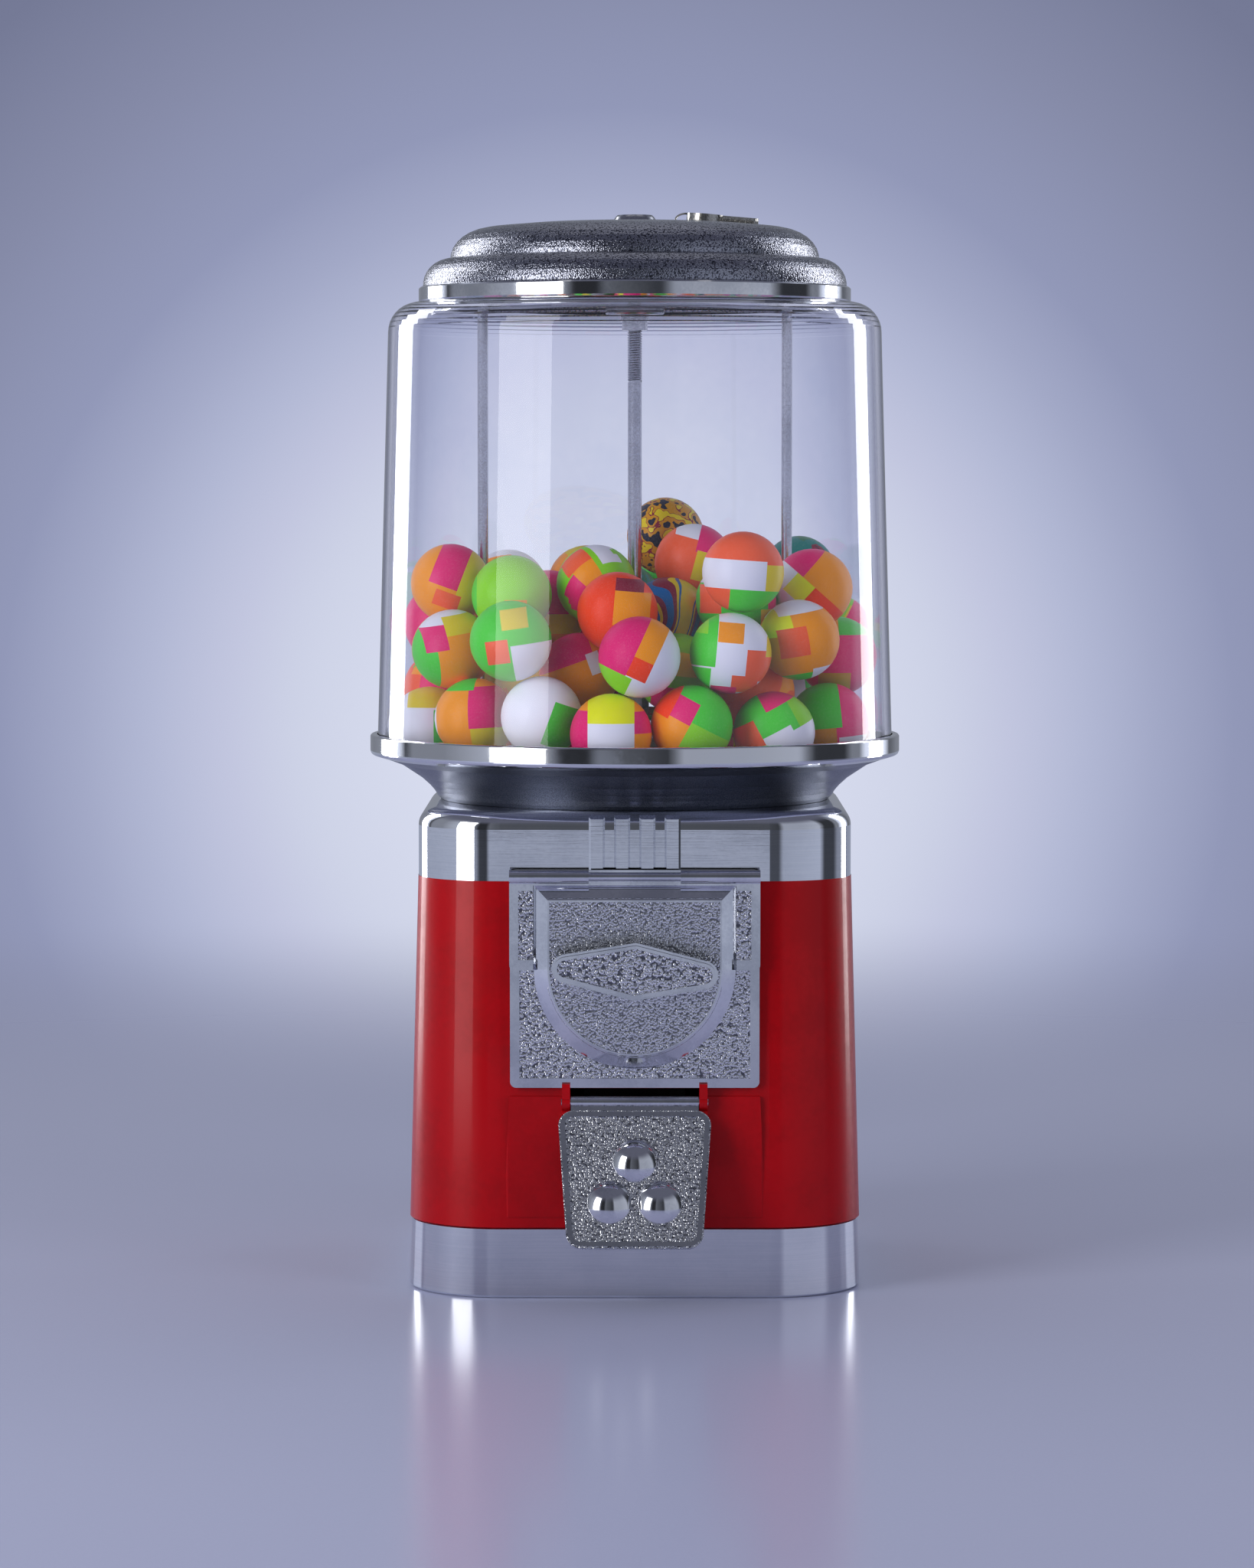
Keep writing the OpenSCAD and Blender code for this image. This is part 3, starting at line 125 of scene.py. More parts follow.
def build_pebble():
    """Rounded bumps of a grained casting, with the depth of the creases between them."""
    tree, takes, gives = effect(
        "cast_pebble", {"Vector": (0, 0, 0), "Bump Size": 1.3 * MM}, ["Height", "Crease"])
    scale = maths(tree, "DIVIDE", 1.0, takes["Bump Size"])
    # Noise drags the cells about by half a bump, so that none keeps straight sides
    drift_scale = maths(tree, "MULTIPLY", scale, 0.7)
    drift = wire(tree, "TexNoise", {"Vector": takes["Vector"], "Scale": drift_scale})
    reach = maths(tree, "MULTIPLY", takes["Bump Size"], 0.5)
    shift = wire(tree, "VectorMath", {0: drift.outputs["Color"], 3: reach}, operation="SCALE")
    moved = wire(tree, "VectorMath", {0: takes["Vector"], 1: shift.outputs[0]},
                 operation="ADD").outputs[0]
    cells = wire(tree, "TexVoronoi", {"Vector": moved, "Scale": scale, "Smoothness": 0.7},
                 feature="SMOOTH_F1")
    dome = ease(tree, cells.outputs["Distance"], 0.1, 0.85, 1.0, 0.0)
    skin = grain(tree, moved, maths(tree, "MULTIPLY", scale, 2.4))
    tree.links.new(maths(tree, "ADD", dome, maths(tree, "MULTIPLY", skin, 0.45)), gives["Height"])
    tree.links.new(ease(tree, dome, 0.05, 0.55, 1.0, 0.0), gives["Crease"])
    return tree


def build_streaks():
    """Fine lines that a drawing or polishing wheel leaves along a surface."""
    tree, takes, gives = effect(
        "drawn_streaks", {"Vector": (0, 0, 0), "Along": 25.0, "Across": 1400.0}, ["Streak"])
    scales = {0: takes["Along"], 1: takes["Along"], 2: takes["Across"]}
    fineness = wire(tree, "CombineXYZ", scales).outputs[0]
    lines = wire(tree, "VectorMath", {0: takes["Vector"], 1: fineness},
                 operation="MULTIPLY").outputs[0]
    tree.links.new(ease(tree, grain(tree, lines, 1.0, 4.0, 0.6), 0.35, 0.65), gives["Streak"])
    return tree


def build_handling():
    """Patches where hands and cloths have dulled a shine."""
    tree, takes, gives = effect("handling_haze", {"Vector": (0, 0, 0), "Patch": 0.03}, ["Haze"])
    scale = maths(tree, "DIVIDE", 1.0, takes["Patch"])
    broad = grain(tree, takes["Vector"], scale, 3.0)
    fine = grain(tree, takes["Vector"], maths(tree, "MULTIPLY", scale, 14.0), 3.0)
    both = maths(tree, "ADD", maths(tree, "MULTIPLY", broad, 0.75),
                 maths(tree, "MULTIPLY", fine, 0.25))
    tree.links.new(ease(tree, both, 0.4, 0.62), gives["Haze"])
    return tree


def build_zone():
    """One inside a box from Low to High, none outside it."""
    tree, takes, gives = effect(
        "zone", {"Vector": (0, 0, 0), "Low": (0, 0, 0), "High": (0, 0, 0), "Soft": 0.1 * MM},
        ["Mask"])
    axes, lows, highs = (
        wire(tree, "SeparateXYZ", {0: takes[name]}).outputs for name in ("Vector", "Low", "High"))
    soft = takes["Soft"]
    mask = None
    for value, low, high in zip(axes, lows, highs):
        rise = ease(tree, value, maths(tree, "SUBTRACT", low, soft), maths(tree, "ADD", low, soft))
        fall = ease(tree, value, maths(tree, "SUBTRACT", high, soft),
                    maths(tree, "ADD", high, soft), 1.0, 0.0)
        part = maths(tree, "MULTIPLY", rise, fall)
        mask = part if mask is None else maths(tree, "MULTIPLY", mask, part)
    tree.links.new(mask, gives["Mask"])
    return tree


PEBBLE = build_pebble()
STREAKS = build_streaks()
HANDLING = build_handling()
ZONE = build_zone()


def placed(tree, group, **feeds):
    """Puts a shared effect into a material; underscores in a name stand for spaces."""
    feeds = {name.replace("_", " "): value for name, value in feeds.items()}
    return wire(tree, "Group", feeds, node_tree=group).outputs


# ---------- finishes ----------

class Finish:
    """One material: its tree, its Principled shader and the piece's own coordinates."""

    def __init__(self, name, **plain):
        self.material = bpy.data.materials.new(name)
        self.material.use_nodes = True
        self.tree = self.material.node_tree
        self.shader = self.tree.nodes["Principled BSDF"]
        self.place = wire(self.tree, "TexCoord").outputs["Object"]
        for socket, value in plain.items():
            self.shader.inputs[socket.replace("_", " ")].default_value = value

    def set(self, socket, source):
        self.tree.links.new(source, self.shader.inputs[socket])

    def haze(self, patch, clean, dulled):
        """Handling marks: sets the roughness between two values, and gives the mask."""
        mask = placed(self.tree, HANDLING, Vector=self.place, Patch=patch)["Haze"]
        self.set("Roughness", maths(self.tree, "MULTIPLY_ADD", mask, dulled - clean, clean))
        return mask

    def bump(self, height, depth):
        """Relief of a height field, depth metres from 0 to 1."""
        feeds = {"Height": height, "Distance": depth, "Strength": 1.0}
        self.set("Normal", wire(self.tree, "Bump", feeds).outputs["Normal"])


def polished(name, colour, dark, along=25.0, across=1400.0, clean=0.05, dulled=0.14,
             depth=0.03 * MM, swell=0.0):
    """Bright metal with faint lines along it and hazy patches; swell is how far its sheet waves."""
    f = Finish(name, Metallic=1.0)
    haze = f.haze(22 * MM, clean, dulled)
    streak = placed(f.tree, STREAKS, Vector=f.place, Along=along, Across=across)["Streak"]
    shade = maths(f.tree, "MULTIPLY", maths(f.tree, "ADD", streak, haze), 0.5)
    f.set("Base Color", mix(f.tree, shade, colour, dark))
    wave = maths(f.tree, "MULTIPLY", grain(f.tree, f.place, 60.0), swell)
    f.bump(maths(f.tree, "MULTIPLY_ADD", streak, depth, wave), 1.0)
    return f.material


def cast(name, low, high, lean=False, size=0.9 * MM, depth=0.18 * MM,
         dome=tone(244, 245, 249), crease_shade=tone(112, 114, 124), gloss=0.2, dull=0.16):
    """Chromed casting: grained in the box from low to high, polished outside it.
    With lean, the box stands along the closed door and is measured from its hinge."""
    f = Finish(name, Metallic=1.0)
    place = f.place
    if lean:
        feeds = {"Vector": place, "Location": HINGE, "Rotation": (-DOOR_LEAN, 0, 0)}
        place = wire(f.tree, "Mapping", feeds, vector_type="TEXTURE").outputs["Vector"]
    mask = placed(f.tree, ZONE, Vector=place, Low=low, High=high, Soft=0.08 * MM)["Mask"]
    pebble = placed(f.tree, PEBBLE, Vector=place, Bump_Size=size)
    haze = placed(f.tree, HANDLING, Vector=place, Patch=18 * MM)["Haze"]
    smooth = maths(f.tree, "MULTIPLY_ADD", haze, 0.05, 0.04)
    grained = maths(f.tree, "MULTIPLY_ADD", pebble["Crease"], dull, gloss)
    f.set("Roughness", wire(f.tree, "Mix", {0: mask, 2: smooth, 3: grained}).outputs[0])
    bright = mix(f.tree, haze, tone(232, 233, 237), tone(214, 216, 222))
    # Painted shade: the creases between the grain's bumps are coloured with the darker tone
    f.set("Base Color", mix(f.tree, mask, bright, mix(f.tree, pebble["Crease"], dome, crease_shade)))
    swell = maths(f.tree, "MULTIPLY", grain(f.tree, place, 110.0), 0.006 * MM)
    relief = maths(f.tree, "MULTIPLY", pebble["Height"], mask)
    f.bump(maths(f.tree, "MULTIPLY_ADD", relief, depth, swell), 1.0)
    return f.material


def enamel(name, colour, deep):
    """Glossy paint over metal, with a slight orange peel."""
    f = Finish(name, Coat_Weight=0.3, Coat_Roughness=0.03, Coat_IOR=1.4, Specular_IOR_Level=0.1)
    haze = f.haze(35 * MM, 0.3, 0.42)
    f.set("Base Color", mix(f.tree, haze, colour, deep))
    wave, peel = grain(f.tree, f.place, 55.0), grain(f.tree, f.place, 420.0)
    f.bump(maths(f.tree, "MULTIPLY_ADD", wave, 2.5, peel), 0.012 * MM)
    return f.material


def moulded(name, colour, dark, clean=0.38, dulled=0.5, depth=0.06 * MM, metallic=0.0):
    """Moulded plastic or a plain casting: fine texture, with dust toward the dark tone."""
    f = Finish(name, Metallic=metallic)
    haze = f.haze(16 * MM, clean, dulled)
    speck = grain(f.tree, f.place, 1800.0, 3.0)
    f.set("Base Color", mix(f.tree, maths(f.tree, "MULTIPLY", haze, speck), colour, dark))
    f.bump(speck, depth)
    return f.material


def clear_globe():
    """Clear plastic; light passes it without a hard shadow."""
    f = Finish("globe_clear", Metallic=0.0, Transmission_Weight=1.0, IOR=1.45, Roughness=0.0)
    haze = placed(f.tree, HANDLING, Vector=f.place, Patch=60 * MM)["Haze"]
    f.set("Base Color", mix(f.tree, haze, tone(253, 253, 255), tone(248, 249, 253)))
    path = wire(f.tree, "LightPath").outputs
    passing = maths(f.tree, "MAXIMUM", path["Is Shadow Ray"], path["Is Diffuse Ray"])
    through = wire(f.tree, "BsdfTransparent", {"Color": tone(243, 244, 250)}).outputs[0]
    both = wire(f.tree, "MixShader", {0: passing, 1: f.shader.outputs[0], 2: through}).outputs[0]
    f.tree.links.new(both, f.tree.nodes["Material Output"].inputs["Surface"])
    return f.material


RIM_FOOT = 0.2085   # where the hopper's polished rim begins


def hopper_metal():
    """Fine satin underside; the rim above it is polished."""
    f = Finish("hopper_satin", Metallic=1.0)
    rim = placed(f.tree, ZONE, Vector=f.place, Low=(-BEYOND, -BEYOND, RIM_FOOT),
                 High=(BEYOND, BEYOND, 0.3), Soft=0.3 * MM)["Mask"]
    haze = placed(f.tree, HANDLING, Vector=f.place, Patch=25 * MM)["Haze"]
    speck = grain(f.tree, f.place, 2600.0, 3.0)
    dull = maths(f.tree, "MULTIPLY_ADD", haze, 0.06, 0.3)
    shine = maths(f.tree, "MULTIPLY_ADD", haze, 0.04, 0.03)
    f.set("Roughness", wire(f.tree, "Mix", {0: rim, 2: dull, 3: shine}).outputs[0])
    satin = mix(f.tree, ease(f.tree, speck, 0.4, 0.62), tone(140, 144, 156), tone(104, 108, 120))
    f.set("Base Color", mix(f.tree, rim, satin, tone(230, 231, 235)))
    f.bump(maths(f.tree, "MULTIPLY", speck, maths(f.tree, "SUBTRACT", 1.0, rim)), 0.05 * MM)
    return f.material


# Ball colours
PINK = tone(240, 24, 112)
GREEN = tone(74, 214, 52)
LIME = tone(142, 222, 26)
LEMON = tone(240, 242, 4)
YELLOW = tone(232, 206, 16)
AMBER = tone(214, 150, 14)
ORANGE = tone(255, 156, 4)
CORAL = tone(255, 98, 50)
EMBER = tone(255, 66, 10)
WHITE = tone(236, 235, 240)
NAVY = tone(26, 32, 52)
TEAL = tone(16, 128, 116)
MAROON = tone(140, 26, 52)
BLUE = tone(14, 110, 180)
FOREST = tone(40, 120, 70)
# The marbled balls' mixes, as the marble attribute numbers them; 0 is plain paint
SWIRLED, SPOTTED, CLOUDED = 1, 2, 3


def painted_rubber(name, gloss):
    """Bouncy ball rubber, in the colours of the piece's paint attribute or marbled."""
    f = Finish(name, Specular_IOR_Level=0.2)
    paint = wire(f.tree, "Attribute", attribute_name="paint").outputs["Color"]
    kind = wire(f.tree, "Attribute", attribute_name="marble").outputs["Fac"]
    swirl = wire(f.tree, "TexWave", {"Vector": f.place, "Scale": 14.0, "Distortion": 9.0,
                                     "Detail": 1.0, "Detail Scale": 1.6}).outputs[0]
    swirled = bands(f.tree, swirl, [
        (0.0, YELLOW), (0.42, BLUE), (0.56, YELLOW), (0.72, MAROON), (0.93, BLUE)])
    spots = grain(f.tree, f.place, 230.0, 1.0)
    spotted = bands(f.tree, spots, [(0.0, NAVY), (0.43, AMBER), (0.56, MAROON), (0.6, YELLOW)])
    clouds = grain(f.tree, f.place, 90.0, 4.0)
    clouded = bands(f.tree, clouds, [
        (0.0, FOREST), (0.42, TEAL), (0.56, MAROON), (0.6, NAVY), (0.66, TEAL)])
    for number, mixed in ((SWIRLED, swirled), (SPOTTED, spotted), (CLOUDED, clouded)):
        paint = mix(f.tree, maths(f.tree, "GREATER_THAN", kind, number - 0.5), paint, mixed)
    speck = grain(f.tree, f.place, 1500.0, 2.0)
    worn = mix(f.tree, ease(f.tree, speck, 0.5, 0.75, 0.0, 0.05), paint, tone(255, 240, 230))
    f.set("Base Color", worn)
    haze = placed(f.tree, HANDLING, Vector=f.place, Patch=9 * MM)["Haze"]
    f.set("Roughness", maths(f.tree, "MULTIPLY_ADD", haze, 0.12, gloss))
    f.bump(maths(f.tree, "ADD", speck, grain(f.tree, f.place, 260.0)), 0.03 * MM)
    return f.material


FINISHES = {
    "chrome": polished("band_chrome", tone(238, 239, 243), tone(226, 228, 234), clean=0.025,
                       dulled=0.06, depth=0.0015 * MM, swell=0.014 * MM),
    "plate": cast("cast_plate", (-0.0453, -0.09065, 0.0870), (0.0453, -0.09035, 0.1655)),
    "hood": cast("cast_hood", (-0.0462, -0.09225, 0.132), (0.0462, -0.09195, 0.163)),
    "dial": cast("cast_dial", (-0.034, -0.09435, 0.09), (0.034, -0.09425, 0.16)),
    "handle": cast("cast_handle", (-BEYOND, -0.10565, 0.1), (BEYOND, -0.10535, 0.16)),
    "door": cast("cast_door", (-BEYOND, -0.00165, -BEYOND), (BEYOND, -0.00135, BEYOND),
                 lean=True),
    "lid": cast("cast_lid", (-BEYOND, -BEYOND, 0.3998), (BEYOND, BEYOND, 0.5),
                size=0.65 * MM, depth=0.1 * MM, dome=tone(164, 166, 178), crease_shade=tone(70, 72, 84),
                gloss=0.15, dull=0.12),
    "hopper": hopper_metal(),
    "red": enamel("cabinet_enamel", tone(166, 4, 14), tone(152, 3, 11)),
    "steel": polished("turned_steel", tone(206, 207, 212), tone(168, 170, 177), 1400.0, 1400.0,
                      0.12, 0.24, 0.01 * MM),
    "zinc": polished("zinc_sheet", tone(182, 186, 190), tone(150, 155, 160), 12.0, 600.0,
                     0.28, 0.42),
    "brass": polished("cut_brass", tone(214, 176, 98), tone(176, 138, 66), 1400.0, 1400.0,
                      0.18, 0.34),
    "nickel": polished("key_nickel", tone(196, 194, 190), tone(160, 157, 150), 900.0, 900.0,
                       0.14, 0.28),
    "casting": moulded("grey_casting", tone(150, 152, 156), tone(108, 110, 114), 0.35, 0.5,
                       0.08 * MM, 1.0),
    "black": moulded("black_plastic", tone(26, 26, 29), tone(54, 54, 58)),
    "ivory": moulded("ivory_plastic", tone(226, 219, 200), tone(188, 178, 152)),
    "globe": clear_globe(),
}
# What each CAD node is finished in; the others are steel
NODE_FINISH = {
    "base_ring": "chrome", "top_ring": "chrome", "mech_plate": "plate", "coin_hood": "hood",
    "dial_cover": "dial", "handle": "handle", "chute_door": "door", "lid": "lid",
    "hopper": "hopper", "body_shell": "red", "base_plate": "zinc", "base_nut": "zinc",
    "shaft_bush": "brass", "drive_gear": "brass", "transfer_gear": "brass", "lock_plug": "brass",
    "keys": "nickel", "mech_housing": "casting", "chute": "black", "coin_box": "black",
    "product_wheel": "ivory", "globe": "globe", "key_ring": "nickel",
}

for node_name, cad_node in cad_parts.items():
    for material_slot in cad_node.material_slots:
        material_slot.material = FINISHES[NODE_FINISH.get(node_name, "steel")]


# ---------- new pieces ----------

CREASE_ANGLE = math.radians(40)


def piece_from(bm, name, finish, body, node):
    """Makes an object of the bmesh, in place, that rides on a body and stands for a CAD node."""
    mesh = bpy.data.meshes.new(name)
    bm.to_mesh(mesh)
    bm.free()
    mesh.materials.append(finish)
    made = bpy.data.objects.new(name, mesh)
    bpy.context.scene.collection.objects.link(made)
    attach(made, body)
    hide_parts(node)


def smooth(bm):
    for face in bm.faces:
        face.smooth = True


def smooth_sides(bm):
    """Smooth faces, with a crease where two meet sharply."""
    smooth(bm)
    for edge in bm.edges:
        if len(edge.link_faces) == 2 and edge.calc_face_angle() > CREASE_ANGLE:
            edge.smooth = False


def centres_of(node):
    """The middle of each loose part of a CAD node."""
    bm = bmesh.new()
    bm.from_mesh(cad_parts[node].data)
    bmesh.ops.remove_doubles(bm, verts=bm.verts[:], dist=1e-6)
    found, seen = [], set()
    for start in bm.verts:
        if start in seen:
            continue
        seen.add(start)
        stack, low, high = [start], Vector(start.co), Vector(start.co)
        while stack:
            vert = stack.pop()
            for k in range(3):
                low[k], high[k] = min(low[k], vert.co[k]), max(high[k], vert.co[k])
            for edge in vert.link_edges:
                other = edge.other_vert(vert)
                if other not in seen:
                    seen.add(other)
                    stack.append(other)
        found.append((low + high) / 2)
    bm.free()
    return found


ROD_RADIUS = 2.8 * MM
CORE_RADIUS = 2.5 * MM
THREAD_LENGTH = 21 * MM     # of which the last pitch is the thread's run-out
THREAD_TURNS = 20
PITCH = 1 * MM
TURN_STEPS = 24
THREAD_RIDGE = [(2.45, 0), (2.98, 0.42), (2.98, 0.58), (2.45, 1)]   # out and up, in mm


def threaded_rod():
    """Centre rod whose end under the lid shows a real screw thread."""
    low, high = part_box("centre_rod")
    thread_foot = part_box("rod_collar")[0][2] - THREAD_LENGTH
    bm = bmesh.new()
    for radius, foot, top in ((ROD_RADIUS, low[2], thread_foot),
                              (CORE_RADIUS, thread_foot, high[2])):
        made = bmesh.ops.create_cone(bm, cap_ends=True, segments=32, radius1=radius,
                                     radius2=radius, depth=top - foot)
        bmesh.ops.translate(bm, verts=made["verts"], vec=(0, 0, (foot + top) / 2))
    ridge = [bm.verts.new((out * MM, 0, thread_foot + up * MM)) for out, up in THREAD_RIDGE]
    sides = [bm.edges.new(pair) for pair in zip(ridge, ridge[1:])]
    bmesh.ops.spin(bm, geom=ridge + sides, cent=(0, 0, 0), axis=(0, 0, 1),
                   dvec=(0, 0, PITCH / TURN_STEPS), angle=math.tau * THREAD_TURNS,
                   steps=THREAD_TURNS * TURN_STEPS, use_duplicate=False)
    bmesh.ops.remove_doubles(bm, verts=bm.verts[:], dist=0.01 * MM)
    bmesh.ops.recalc_face_normals(bm, faces=bm.faces[:])
    smooth_sides(bm)
    piece_from(bm, "threaded_rod", FINISHES["steel"], "cabinet", "centre_rod")


RING_RADIUS = 4.4 * MM
RING_WIRE = 0.4 * MM
RING_LEAN = math.radians(40)
KEYS_OVER_LID = 1.2 * MM


def small_ring():
    """Wire ring through the keys, leaning on the lid."""
    lid_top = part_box("keys")[0][2] - KEYS_OVER_LID
    bm = bmesh.new()
    wire_loop = bmesh.ops.create_circle(bm, segments=12, radius=RING_WIRE)["verts"]
    bmesh.ops.rotate(bm, verts=wire_loop, cent=(0, 0, 0),
                     matrix=Matrix.Rotation(math.radians(90), 3, "X"))
    bmesh.ops.translate(bm, verts=wire_loop, vec=(RING_RADIUS, 0, 0))
    bmesh.ops.spin(bm, geom=bm.verts[:] + bm.edges[:], cent=(0, 0, 0), axis=(0, 0, 1),
                   angle=math.tau, steps=64, use_merge=True)
    bmesh.ops.recalc_face_normals(bm, faces=bm.faces[:])
    smooth(bm)
    middle = Matrix.Translation((20.9 * MM, -2.2 * MM, lid_top + 3.4 * MM))
    bmesh.ops.transform(bm, matrix=middle @ Matrix.Rotation(RING_LEAN, 4, "X"),
                        verts=bm.verts[:])
    piece_from(bm, "small_key_ring", FINISHES["nickel"], "lid", "key_ring")


# Each look: the ball it is for as its middle in mm, how the ball lies (degrees about x, y and z),
# its ground, and its blocks as left, right, bottom, top in radii seen from the front, then colour
LOOKS = [
    ((-9, -85, 222), (0, 0, 0), ORANGE, [
        (-0.56, 0.57, 0.3, 2, LEMON), (-0.56, 0.57, -2, 0.3, WHITE), (-2, -0.56, -2, 0.6, PINK),
        (0.57, 2, 0.05, 0.58, PINK)]),
    ((22, -80, 225), (0, 28, 0), GREEN, [
        (-0.07, 2, -2, 0.1, LIME), (-2, -0.07, -2, 0, ORANGE), (-2, -0.62, -0.1, 2, EMBER),
        (-0.62, -0.07, 0, 0.57, PINK)]),
    ((55, -66, 222), (0, -28, 0), GREEN, [
        (-2, -0.32, -2, 0.53, CORAL), (-0.32, 0.43, -2, 0.02, WHITE), (0.43, 2, -2, -0.14, WHITE),
        (0.62, 2, -0.14, 0.6, LIME), (0.05, 0.85, 0.55, 2, PINK)]),
    ((77, -32, 224), (0, -5, 0), PINK, [
        (-2, 0.3, -0.1, 2, GREEN), (-2, 0.15, -2, -0.1, AMBER), (0.2, 2, -2, -0.35, WHITE)]),
    ((-63, -50, 227), (0, -3, -8), ORANGE, [
        (0, 2, -0.22, 0.8, PINK), (0.03, 2, -2, -0.22, YELLOW), (-2, 0.12, 0.72, 2, GREEN),
        (-2, -0.88, -2, 0.72, WHITE)]),
    ((-37, -68, 228), (0, 20, 0), WHITE, [(0.2, 2, -0.6, 0.5, GREEN), (-2, -0.3, -2, 0.2, WHITE)]),
    ((-83, -23, 222), (0, 0, 0), WHITE, [
        (-0.5, 0.5, 0.5, 2, YELLOW), (0.15, 2, -2, 0.45, GREEN), (0.4, 2, 0.45, 2, CORAL)]),
    ((2, -85, 252), (0, 25, 0), WHITE, [
        (-2, -0.13, -0.53, 2, PINK), (-0.13, 0.38, 0, 2, ORANGE), (-0.13, 0.38, -0.5, 0, EMBER),
        (-2, 0.05, -2, -0.53, LIME)]),
    ((37, -76, 253), (0, 5, 0), WHITE, [
        (-2, -0.36, -0.34, 2, GREEN), (-2, -0.6, 0.45, 2, LIME),
        (-0.35, 0.27, 0.28, 0.77, ORANGE), (-2, -0.45, -2, -0.38, GREEN),
        (0.38, 2, -0.62, 0.15, CORAL), (0.06, 0.7, -0.92, -0.5, CORAL),
        (0.84, 2, 0, 0.5, YELLOW), (-0.42, 0.2, -2, -0.8, PINK)]),
    ((64, -55, 258), (0, -10, 10), ORANGE, [
        (-2, -0.25, 0.2, 2, LEMON), (-0.65, 0.05, -0.35, 0.37, CORAL), (-0.5, 2, 0.68, 2, WHITE),
        (0.1, 0.8, -2, -0.72, WHITE), (-0.6, 0.1, -2, -0.8, GREEN)]),
    ((-22, -44, 245), (0, -20, 0), ORANGE, [
        (-2, 0.5, 0.28, 2, PINK), (0.3, 0.62, -0.15, 0.4, WHITE), (0.62, 2, -0.5, 0.4, CORAL),
        (-2, 0.2, -2, -0.85, GREEN)]),
    ((-49, -70, 258), (0, -8, 0), GREEN, [
        (-0.6, -0.05, -0.5, 0.08, CORAL), (-0.15, 0.5, 0.3, 0.8, YELLOW), (0, 2, -2, -0.1, WHITE)]),
    ((-73, -36, 254), (0, -10, 12), ORANGE, [
        (-2, -0.5, -2, 0.75, GREEN), (-0.75, -0.22, 0.05, 0.68, PINK),
        (-0.22, 0.75, 0.38, 0.86, YELLOW), (-2, -0.22, 0.68, 2, WHITE),
        (-0.22, 2, 0.86, 2, WHITE)]),
    ((82, -14, 250), (0, 0, 0), PINK, [
        (0, 2, 0.55, 2, GREEN), (-2, 0, 0.5, 2, ORANGE), (-0.5, 0.3, -2, -0.4, AMBER)]),
    ((-7, -58, 269), (0, 5, 0), EMBER, [
        (-0.1, 0.8, -0.3, 0.55, ORANGE), (-0.1, 0.6, 0.55, 0.86, MAROON)]),
    ((40, -39, 273), (0, 0, 0), GREEN, [
        (-2, 0.55, 0.46, 2, WHITE), (-0.9, -0.38, -0.3, 0.42, CORAL), (0.75, 2, 0.2, 0.9, YELLOW),
        (0.78, 2, -0.2, 0.38, PINK), (0.6, 2, -0.7, -0.2, YELLOW)]),
    ((71, -31, 278), (0, 42, 0), WHITE, [
        (-2, -0.4, 0.05, 2, PINK), (-0.4, 2, 0.05, 2, ORANGE), (-0.56, 0, -0.5, 0.05, LEMON),
        (0, 2, -0.5, 0.05, EMBER)]),
    ((-74, -17, 280), (0, 20, 0), ORANGE, [
        (-0.5, 0.25, -0.1, 2, PINK), (0.25, 2, -2, 2, YELLOW), (-0.25, 0.4, -0.6, -0.2, CORAL)]),
    ((-49, -38, 275), (0, 0, 0), LIME, [
        (-2, -0.85, -2, 2, GREEN), (-0.15, 0.4, -0.5, -0.1, ORANGE), (-0.6, 0.2, -2, -0.5, PINK)]),
    ((-35, -6, 269), (0, 0, 0), PINK, [(-2, 2, -0.6, -0.1, YELLOW), (-2, 2, -2, -0.6, ORANGE)]),
    ((42, -69, 285), (0, 4, 0), CORAL, [
        (-2, 0.55, -0.42, 0.3, WHITE), (0.55, 2, -0.5, 0.22, YELLOW), (-0.3, 2, -2, -0.42, GREEN)]),
    ((24, -1, 287), (0, 15, 0), CORAL, [
        (-0.65, -0.05, 0.6, 2, WHITE), (-0.05, 2, 0.3, 2, PINK), (0, 0.55, -0.4, 0.35, YELLOW)]),
]
MARBLED = {(14, -23, 266): SWIRLED, (13, 27, 298): SPOTTED, (-5, 55, 271): CLOUDED,
           (69, 45, 282): CLOUDED, (-36, 30, 270): CLOUDED}
MATCH_REACH = 4 * MM    # how far a ball's middle may lie from the one that a look names
BALL_CELLS = 10


def ball_shape():
    """A round ball whose faces lie in a square grid on six sides."""
    bm = bmesh.new()
    bmesh.ops.create_cube(bm, size=2.0)
    bmesh.ops.subdivide_edges(bm, edges=bm.edges[:], cuts=BALL_CELLS - 1, use_grid_fill=True)
    for vert in bm.verts:
        vert.co = Vector([math.tan(c * math.pi / 4) for c in vert.co]).normalized() * BALL_RADIUS
    mesh = bpy.data.meshes.new("ball_shape")
    bm.to_mesh(mesh)
    bm.free()
    return mesh


def random_look(pick):
    """How a ball lies, its ground, and four blocks, as in LOOKS, all at random."""
    colours = pick.sample([PINK, GREEN, YELLOW, ORANGE, WHITE, CORAL, LIME], 5)
    blocks = []
    for colour in colours[1:]:
        x, z = pick.uniform(-1, 0.5), pick.uniform(-1, 0.5)
        blocks.append((x, x + pick.uniform(0.5, 1.1), z, z + pick.uniform(0.5, 1.1), colour))
    return [pick.uniform(0, 360) for _ in range(3)], colours[0], blocks


def paint_of(direction, ground, blocks):
    """The colour of a ball where it faces that way; its back is painted as its front is."""
    colour = ground
    x = direction.x if direction.y < 0 else -direction.x
    for left, right, bottom, top, tint in blocks:
        if left <= x <= right and bottom <= direction.z <= top:
            colour = tint
    return colour


